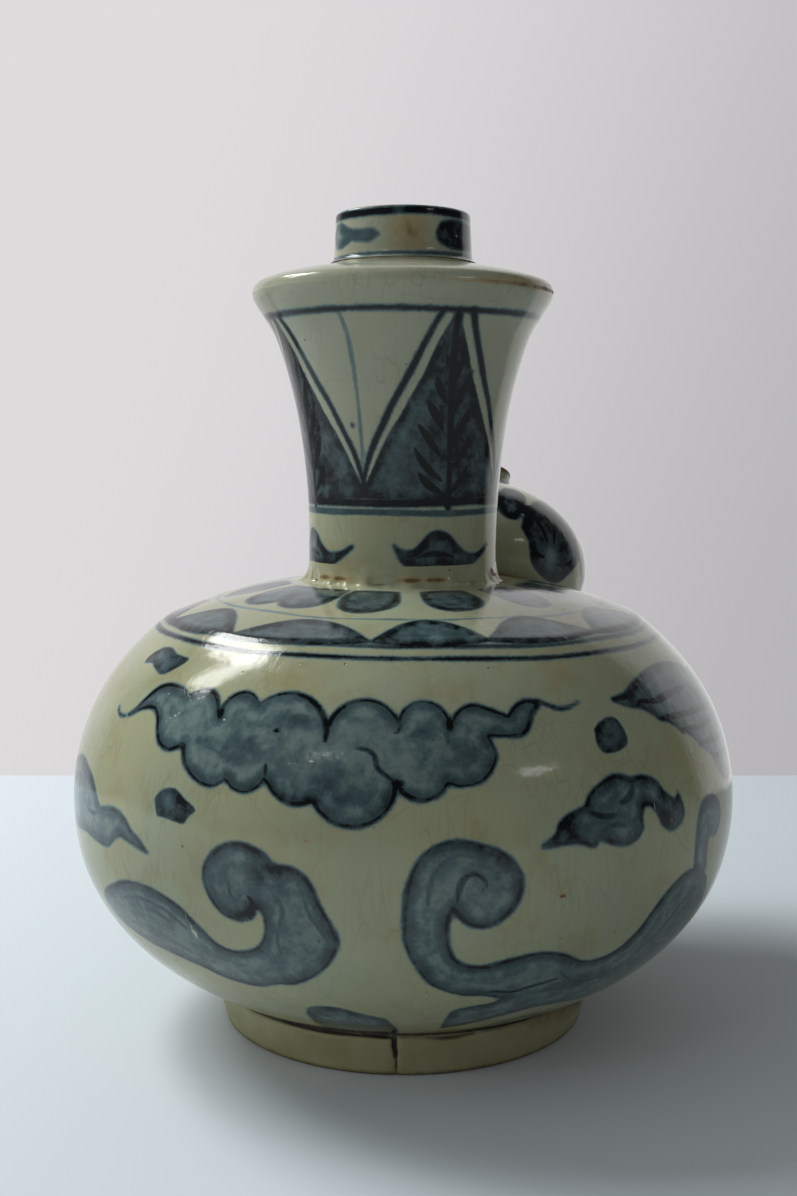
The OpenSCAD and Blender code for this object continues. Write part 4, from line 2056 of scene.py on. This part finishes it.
@dataclass
class FlangeCap(Piece):
    """The flange's top, with the round edge that meets the neck."""

    edge_r: float = 35.4
    edge_z: float = 172.4
    edge_round: Point = (2.6, 2.5)
    inner_r: float = 30.9
    top_z: float = 178.3
    seat_r: float = 17.7
    bore_r: float = 12.2
    wall: float = 4.0
    name = "flange_top"
    steps = 320
    flat = True
    nodes = ("flange_cap",)

    PULL = (29.9, 176.7)
    STAINS_AND_SHADE = (
        ((62, 35.3), 42, 0.9, 0.6),
        ((-50, 35.4), 70, 0.4, 0.1),
        ((170, 35.3), 80, 0.7, 0.3),
    )

    def crown(self) -> Array:
        """Follows the top from its edge in to the collar.

        Returns:
            Rows of radius and height.
        """
        across, up = self.edge_round
        turn = np.radians(np.linspace(0, 65, 10))
        side = self.edge_r - across + across * np.cos(turn)
        edge = np.column_stack([side, self.edge_z + up * np.sin(turn)])
        return section(edge, bend(tuple(edge[-1]), self.PULL, (self.seat_r, self.top_z)))

    def rows(self) -> Array:
        """Follows the cap over its top to the bore and back under it.

        Returns:
            Rows of radius and height.
        """
        bore = (self.bore_r, self.top_z)
        under = (self.bore_r, self.top_z - self.wall)
        return section(
            [(self.inner_r, self.edge_z)],
            even(self.crown(), 0.5),
            even([(self.seat_r, self.top_z), bore], 1.5),
            even([bore, under], 1.0),
            even([under, (self.inner_r, self.edge_z)], 3.0),
        )

    def bare(self, points: Array) -> Array:
        """Tells which points lie under the top or under the collar.

        Args:
            points: Rows of x, y and z in millimetres.

        Returns:
            Whether each point is bare.
        """
        crown = self.crown()[::-1]
        radius = off_axis(points)
        face = np.interp(radius, crown[:, 0], crown[:, 1])
        return (points[:, 2] < face - 0.5) | (radius < self.seat_r - 0.3)

    def paint(self, canvas: Canvas) -> None:
        """Draws the rings round the collar."""
        canvas.ring(20.2, 0.6, 0.66, 0.35)
        canvas.ring(18.1, 0.6, 0.5, 0.2)


@dataclass
class FlangeJoint(Piece):
    """Slip bead that closes the flange's edge."""

    edge_r: float = 35.4
    swell_r: float = 35.56
    inner_r: float = 30.9
    low_z: float = 171.6
    high_z: float = 172.4
    name = "flange_joint"
    flat = True
    nodes = ("flange_slip",)
    slot = Slot.SLIP

    STAINS_AND_SHADE = (
        ((60, 35.5), 50, 2.4, 0.75),
        ((-50, 35.5), 70, 2.0, 0.15),
        ((170, 35.5), 80, 2.0, 0.4),
    )

    def rows(self) -> Array:
        """Follows the bead round its outer swell and back inside.

        Returns:
            Rows of radius and height.
        """
        middle = (self.swell_r, (self.low_z + self.high_z) / 2)
        low = (self.inner_r, self.low_z)
        bead = bend((self.edge_r, self.low_z), middle, (self.edge_r, self.high_z), 7)
        return section([low], bead, [(self.inner_r, self.high_z), low])


@dataclass
class MouthCollar(Piece):
    """The collar of the mouth."""

    foot_r: float = 16.3
    flare_r: float = 17.4
    foot_z: float = 179.1
    lip_r: float = 15.8
    top_z: float = 190.7
    bore_r: float = 12.2
    round: float = 0.9
    name = "mouth_collar_painted"
    skin_r = 14.6
    steps = 260
    nodes = ("mouth_collar",)

    BLOB = Figure.chain(
        ((-74, 187.3), (-64, 187.6), (-54, 186.4), (-46, 185.6)),
        ((-36, 185.4), (-26, 185.4), (-20, 184.2)),
        ((-28, 182.8), (-38, 183), (-47, 183.4)),
        ((-56, 182.4), (-66, 182.2), (-75, 183), (-80, 185.6)),
        tone=0.32, line=0.8, line_tone=0.55,
    )
    ROUND = Figure.chain(
        (
            (33, 186.9), (46, 187.6), (62, 187.2), (78, 186.6), (87, 184.6), (78, 182.6), (62, 181.8),
            (44, 181.6), (31, 182.6), (28, 184.6),
        ),
        tone=0.66, line=0.8, line_tone=0.8,
    )
    # Worn place of the dark rim: angle, spread in degrees, lowest height and share of the ink lost
    WORN = (-4, 6, 187, 0.4)
    STAINS_AND_SHADE = (((5, 185), 27, 9.0, 0.56), ((-4, 188.9), 2.6, 0.7, 0.95))

    def rows(self) -> Array:
        """Follows the collar out along its foot, up its side, over its rim and down its bore.

        Returns:
            Rows of radius and height.
        """
        lip, back = rim(self.lip_r, self.bore_r, self.top_z, self.round)
        foot = (self.bore_r, self.foot_z)
        flare = bend(
            (self.flare_r, self.foot_z),
            (self.foot_r, self.foot_z + 0.3),
            (self.foot_r - 0.1, self.foot_z + 2.4),
            8,
        )
        return section(
            even([foot, (self.flare_r, self.foot_z)], 2.0),
            flare,
            even([tuple(flare[-1]), tuple(lip[0])], 0.5),
            lip,
            back,
            even([tuple(back[-1]), foot], 1.5),
        )

    def paint(self, canvas: Canvas) -> None:
        """Paints the two blobs, the foot's ring and the dark rim with its worn place.

        Args:
            canvas: The piece's canvas.
        """
        canvas.paint(self.BLOB, BOTH_SIDES)
        canvas.paint(self.ROUND, BOTH_SIDES)
        canvas.deepen(((44, 184.6), 10, 1.8, 0.3), BOTH_SIDES)
        canvas.ring(189.3, 1.5, 1.0, 0.12)
        canvas.ring(179.9, 0.7, 0.6, 0.12)
        place, spread, low, lost = self.WORN
        worn = np.exp(-(((canvas.angle - place) / spread) ** 2)) * (canvas.run > low)
        canvas.layers["ink_tone"] *= 1 - lost * worn


@dataclass
class SpoutBulb(Piece):
    """The bulb of the spout, saddled on the shoulder."""

    radius: float = 31.19
    half: float = 23.09
    wall: float = 3.5
    seat_r: float = 10.3
    bore_r: float = 3.6
    form_low: float = 40.0
    form_r: float = 60.0
    pole_r: float = 4.0
    skin_share: float = 0.97
    name = "spout_bulb_painted"
    nodes = ("spout_bulb",)

    # Millimetres along the wall for a degree up the bulb
    SCALE = 0.46
    BLOSSOM = Figure.chain(
        (
            (-140.2, 8.3), (-129.5, 15.6), (-112, 19), (-104.7, 14), (-103, 6.5), (-101, 1.5), (-106, -3.5),
            (-113, -9.3), (-123.4, -10.1), (-134.1, -7.3), (-138.3, -1.8), (-142.9, 2.3),
        ),
        tone=0.78, line_tone=1.0,
    )
    LEAF = Figure.chain(
        ((-143.3, 19.4), (-139.1, 16.3), (-143.6, 7.6), (-147.7, 4.6), (-154, 6), (-158, 12), (-151, 18.5)),
        tone=0.8,
    )
    LEAF_STALK = ((-148, 8), (-140, 9.5), (-132, 12))
    # Pale eye of each blossom, made larger and paler as a painted glint on the dark paint
    EYE_AND_GLINT = ((-124.2, -3.5), 5, 2.9, -0.66)
    FOLDS = (
        ((-124, 0.5), (-122, 8), (-115, 16)),
        ((-120, -1.5), (-113, 3), (-105, 8)),
        ((-128, 0), (-133, 5), (-138, 8)),
        ((-128.5, -4.5), (-133, -4.5), (-138, -2)),
        ((-119.5, -5), (-114, -4.5), (-108, -1)),
    )
    STEMS = (
        ((-101, 2), (-93, -3), (-82, -2), (-74, 5), (-66, 10)),
        ((-91, -3), (-87, -7.5), (-81, -9.5), (-75, -8)),
        ((-84, -2.2), (-86, 4), (-92, 8), (-95, 12)),
    )

    def rows(self) -> Array:
        """Follows the bulb up its outside to the nozzle's seat and down its hollow.

        Returns:
            Rows of radius and height.
        """
        hollow_r, hollow_half = self.radius - self.wall, self.half - self.wall
        upper = oval(self.radius, self.half, 2, 0, self.seat_r)
        lower = oval(self.radius, self.half, 2, 0, 0) * (1, -1)
        hollow = oval(hollow_r, hollow_half, 2, 0, self.bore_r)
        under = oval(hollow_r, hollow_half, 2, 0, 0) * (1, -1)
        return section(
            even(section(lower[::-1], upper), 0.6),
            [(self.bore_r, self.half * oval_share(self.seat_r / self.radius, 2))],
            even(section(hollow[::-1], under), 2.0),
        )

    def trim(self, piece: bpy.types.Object) -> None:
        """Seats the bulb and cuts it to the uneven shoulder.

        Args:
            piece: The piece.
        """
        SPOUT.seat(piece)
        form = section(
            [(0, self.form_low), (self.form_r, self.form_low)],
            even(BODY.above(), 2.0),
            [(0, BODY.belly_z + BODY.rise)],
        )
        tool = Wheel.turn("shoulder_form", form, 160)
        put(tool, swell_by_hand(places(tool)))
        Wheel.cut(piece, tool)

    def canvas(self, points: Array) -> Canvas:
        """Lays the bulb flat round the spout's own axis.

        Args:
            points: Rows of x, y and z in millimetres.

        Returns:
            The canvas, unpainted.
        """
        own = SPOUT.local(points)
        across = off_axis(own) / self.radius
        up = own[:, 2] / self.half
        rise = np.degrees(np.arctan2(up, across))
        inside = np.hypot(across, up) < self.skin_share
        return Canvas(turn_of(own), rise * self.SCALE, np.maximum(off_axis(own), self.pole_r), inside)

    def paint(self, canvas: Canvas) -> None:
        """Paints four blossoms, their pale eyes partly painted glints, on one winding stem, with their
        leaves and the ring at the nozzle.

        Args:
            canvas: The piece's canvas.
        """
        canvas.paint(self.BLOSSOM, FOUR_SIDES)
        canvas.paint(self.LEAF, FOUR_SIDES)
        canvas.stroke(self.LEAF_STALK, 3.4, 0.9, FOUR_SIDES, layer="wash")
        canvas.deepen(self.EYE_AND_GLINT, FOUR_SIDES)
        for fold in self.FOLDS:
            canvas.stroke(fold, 1.7, 1.0, FOUR_SIDES)
        for stem in self.STEMS:
            canvas.stroke(stem, 1.3, 0.85, FOUR_SIDES, taper=0.4)
        canvas.ring(31.5, 0.9, 0.8, 0.1)


@dataclass
class SpoutNozzle(Piece):
    """The short nozzle of the spout."""

    foot_r: float = 9.0
    tip_r: float = 6.8
    bore_r: float = 3.6
    foot_z: float = 22.605
    height: float = 6.6
    round: float = 0.9
    skin: float = 1.0
    name = "spout_nozzle_glazed"
    steps = 140
    nodes = ("spout_nozzle",)

    # Tan tip: how far below the top it starts, over what length it deepens, and its strength
    TIP_STAIN = (3.2, 2.4, 0.9)

    def rows(self) -> Array:
        """Follows the nozzle up its side, over its rim and down its bore.

        Returns:
            Rows of radius and height.
        """
        top = self.foot_z + self.height
        foot = (self.bore_r, self.foot_z)
        pull = (self.tip_r, self.foot_z + self.height / 3)
        side = bend((self.foot_r, self.foot_z), pull, (self.tip_r, top - 2 * self.round))
        lip, back = rim(self.tip_r, self.bore_r, top, self.round)
        return section([foot], even(side, 0.4), lip, back, even([tuple(back[-1]), foot], 1.0))

    def trim(self, piece: bpy.types.Object) -> None:
        """Seats the nozzle on the bulb."""
        SPOUT.seat(piece)

    def canvas(self, points: Array) -> Canvas:
        """Lays the nozzle flat round the spout's own axis.

        Args:
            points: Rows of x, y and z in millimetres.

        Returns:
            The canvas, unpainted.
        """
        own = SPOUT.local(points)
        radius = off_axis(own)
        return Canvas(turn_of(own), own[:, 2], radius, radius < self.tip_r - self.skin)

    def paint(self, canvas: Canvas) -> None:
        """Draws the foot's ring and stains the tip.

        Args:
            canvas: The piece's canvas.
        """
        canvas.ring(self.foot_z + 1.4, 0.9, 0.7, 0.08)
        start, length, most = self.TIP_STAIN
        tip = (canvas.run - self.foot_z - self.height + start) / length
        canvas.layers["stain"] = np.clip(tip, 0, most)


@dataclass
class Joints:
    """Slip joints whose solids are shown as they are."""

    shown: tuple[str, ...] = ("foot_slip", "collar_slip", "spout_slip", "nozzle_slip")

    def dress(self, finishes: dict[str, bpy.types.Material]) -> None:
        """Gives each joint its finish.

        Args:
            finishes: Finish of each joint, by its name.
        """
        for name in self.shown:
            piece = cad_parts[name]
            piece.data.materials.clear()
            piece.data.materials.append(finishes[name])
            LOG.info("%s: slip dressed", name)


@dataclass(frozen=True)
class Lamp:
    """A rectangular lamp, with its place and the way of its long side seen from the camera's side."""

    name: str
    place: Triple
    along: Triple
    size: tuple[float, float]
    power: float
    mirrored: bool = True
    colour: Triple = (1.0, 1.0, 0.98)
    aim: Triple = (0.0, 0.0, 0.08)

    def hang(self) -> None:
        """Hangs the lamp and points it at the body; a lamp that isn't mirrored leaves no highlight."""
        bpy.ops.object.light_add(type="AREA", location=from_view(self.place))
        lamp = bpy.context.active_object
        lamp.name = self.name
        lamp.data.shape = "RECTANGLE"
        lamp.data.energy = self.power
        lamp.data.size, lamp.data.size_y = self.size
        lamp.data.color = self.colour
        lamp.visible_camera = False
        lamp.visible_glossy = self.mirrored
        back = (lamp.location - Vector(from_view(self.aim))).normalized()
        side = back.cross(Vector(from_view(self.along))).normalized()
        lamp.rotation_euler = Matrix((side.cross(back), side, back)).transposed().to_euler()


@dataclass
class Studio:
    """Pale table, soft light, a few small bright panes and the camera."""

    table: Triple = srgb(204, 211, 213)
    wall: Triple = srgb(222, 219, 221)
    wall_shade: Triple = srgb(182, 180, 183)
    wall_glow: Triple = (1.0, 1.0, 1.0)
    room: Triple = (0.07, 0.07, 0.07)
    room_left: Triple = (0.26, 0.27, 0.28)
    table_size: float = 6.0
    back_edge: float = 0.25
    sky: float = 0.24

    LAMPS = (
        Lamp("window", (-0.68, 0.3, 0.86), (1, 0, 0), (0.55, 0.55), 8.5, False, (0.95, 1.0, 1.08)),
        Lamp("side", (-1.0, -0.5, 0.5), (0, 1, 0), (0.9, 0.9), 3.2, False, (0.96, 0.99, 1.05)),
        Lamp("pane", (-0.53, 0.38, 0.82), (0.04, -0.26, 0.17), (0.32, 0.15), 2.0),
        Lamp("sash", (-0.65, 0.23, 0.8), (-0.27, -0.03, -0.21), (0.34, 0.14), 1.8),
        Lamp("glint_left", (-0.43, -0.72, 0.7), (1, 0, 0), (0.16, 0.03), 0.12),
        Lamp("glint_right", (0.7, -0.64, 0.53), (0.64, 0.7, 0), (0.2, 0.04), 0.2),
    )

    def floor(self) -> None:
        """Lays the table, which ends behind the pot."""
        bpy.ops.object.select_all(action="DESELECT")
        middle = from_view((0, self.back_edge - self.table_size / 2, -0.00005))
        turn = (0, 0, math.radians(VIEW_TURN))
        bpy.ops.mesh.primitive_plane_add(size=self.table_size, location=middle, rotation=turn)
        floor = bpy.context.active_object
        floor.name = "table"
        mix = Mix("table_cloth")
        mix.give(Base_Color=self.table, Roughness=0.85)
        floor.data.materials.append(mix.material)

    def sky_light(self) -> None:
        """Sets the even light of the room, seen as a pale wall behind the pot and mirrored from there."""
        world = bpy.data.worlds.new("room")
        bpy.context.scene.world = world
        world.use_nodes = True
        tree = Tree(world.node_tree)
        way = tree.node("ShaderNodeTexCoord", {}, {}, "Generated")
        kinds = ("Camera", "Glossy", "Transmission")
        rays = [tree.node("ShaderNodeLightPath", {}, {}, f"Is {kind} Ray") for kind in kinds]

        def facing(direction: Triple) -> Value:
            """Gives how far a ray faces a direction, seen from the camera's side."""
            inputs = {0: way, 1: from_view(direction)}
            return tree.node("ShaderNodeVectorMath", {"operation": "DOT_PRODUCT"}, inputs, "Value")

        wall = tree.blend(facing((0.94, 0.0, -0.34)).above(-0.22, 0.36), self.wall, self.wall_shade)
        up = facing((0, 0, 1))
        left = facing((-1, 0, 0)).above(0.1, 0.7) * up.below(0.5, 0.0)
        glow = tree.blend(facing((1, 0, 0)).above(-0.2, 0.4), self.wall, self.wall_glow)
        away = facing((0.12, 0.993, 0.0)).below(0.66, 0.5)
        mirrored = tree.blend(away, glow, tree.blend(left, self.room, self.room_left))
        seen = tree.node("ShaderNodeBackground", {}, {0: tree.blend(rays[1], wall, mirrored), 1: 1.0})
        light = tree.node("ShaderNodeBackground", {}, {0: (0.96, 0.98, 1.0), 1: self.sky})
        shown = rays[0].most(rays[1]).most(rays[2])
        mixed = tree.node("ShaderNodeMixShader", {}, {0: shown, 1: light, 2: seen})
        tree.node("ShaderNodeOutputWorld", {}, {0: mixed})

    def camera(self) -> None:
        """Stands the camera where the photograph was taken."""
        place = from_view(CAMERA_PLACE)
        bpy.ops.object.camera_add(location=tuple(c * MM for c in place))
        camera = bpy.context.active_object
        camera.rotation_euler = (math.radians(90 - CAMERA_TILT), 0, math.radians(VIEW_TURN))
        camera.data.lens = CAMERA_LENS
        camera.data.sensor_width = 36.0
        camera.data.clip_start = 0.01
        bpy.context.scene.camera = camera

    def build(self) -> None:
        """Sets the whole studio."""
        self.floor()
        for lamp in self.LAMPS:
            lamp.hang()
        self.sky_light()
        self.camera()
        bpy.context.scene.view_settings.view_transform = "Standard"


def main() -> None:
    """Builds the pieces from the foot up, then the studio."""
    logging.basicConfig(level=logging.INFO, format="%(name)s %(relativeCreated)d ms: %(message)s")
    glaze = PaintedGlaze().make()
    foot = FootClay().make()
    brown_slip = Slip("brown_slip").make()
    pale_slip = Slip("pale_slip", srgb(166, 162, 134), srgb(120, 108, 74), 0.5, 0.22).make()
    dark_slip = Slip("dark_slip", srgb(70, 58, 40), srgb(40, 32, 22), 0.8, 0.6).make()
    FootRing().build(foot)
    LowerBody().build(glaze)
    BellySeam().build(pale_slip)
    for made in (UpperBody, NeckJoint, Neck, FlangeJoint, FlangeCap, MouthCollar, SpoutBulb, SpoutNozzle):
        made().build(glaze)
    finishes = {
        "foot_slip": dark_slip,
        "collar_slip": pale_slip,
        "spout_slip": brown_slip,
        "nozzle_slip": brown_slip,
    }
    Joints().dress(finishes)
    Studio().build()


if __name__ == "__main__":
    main()
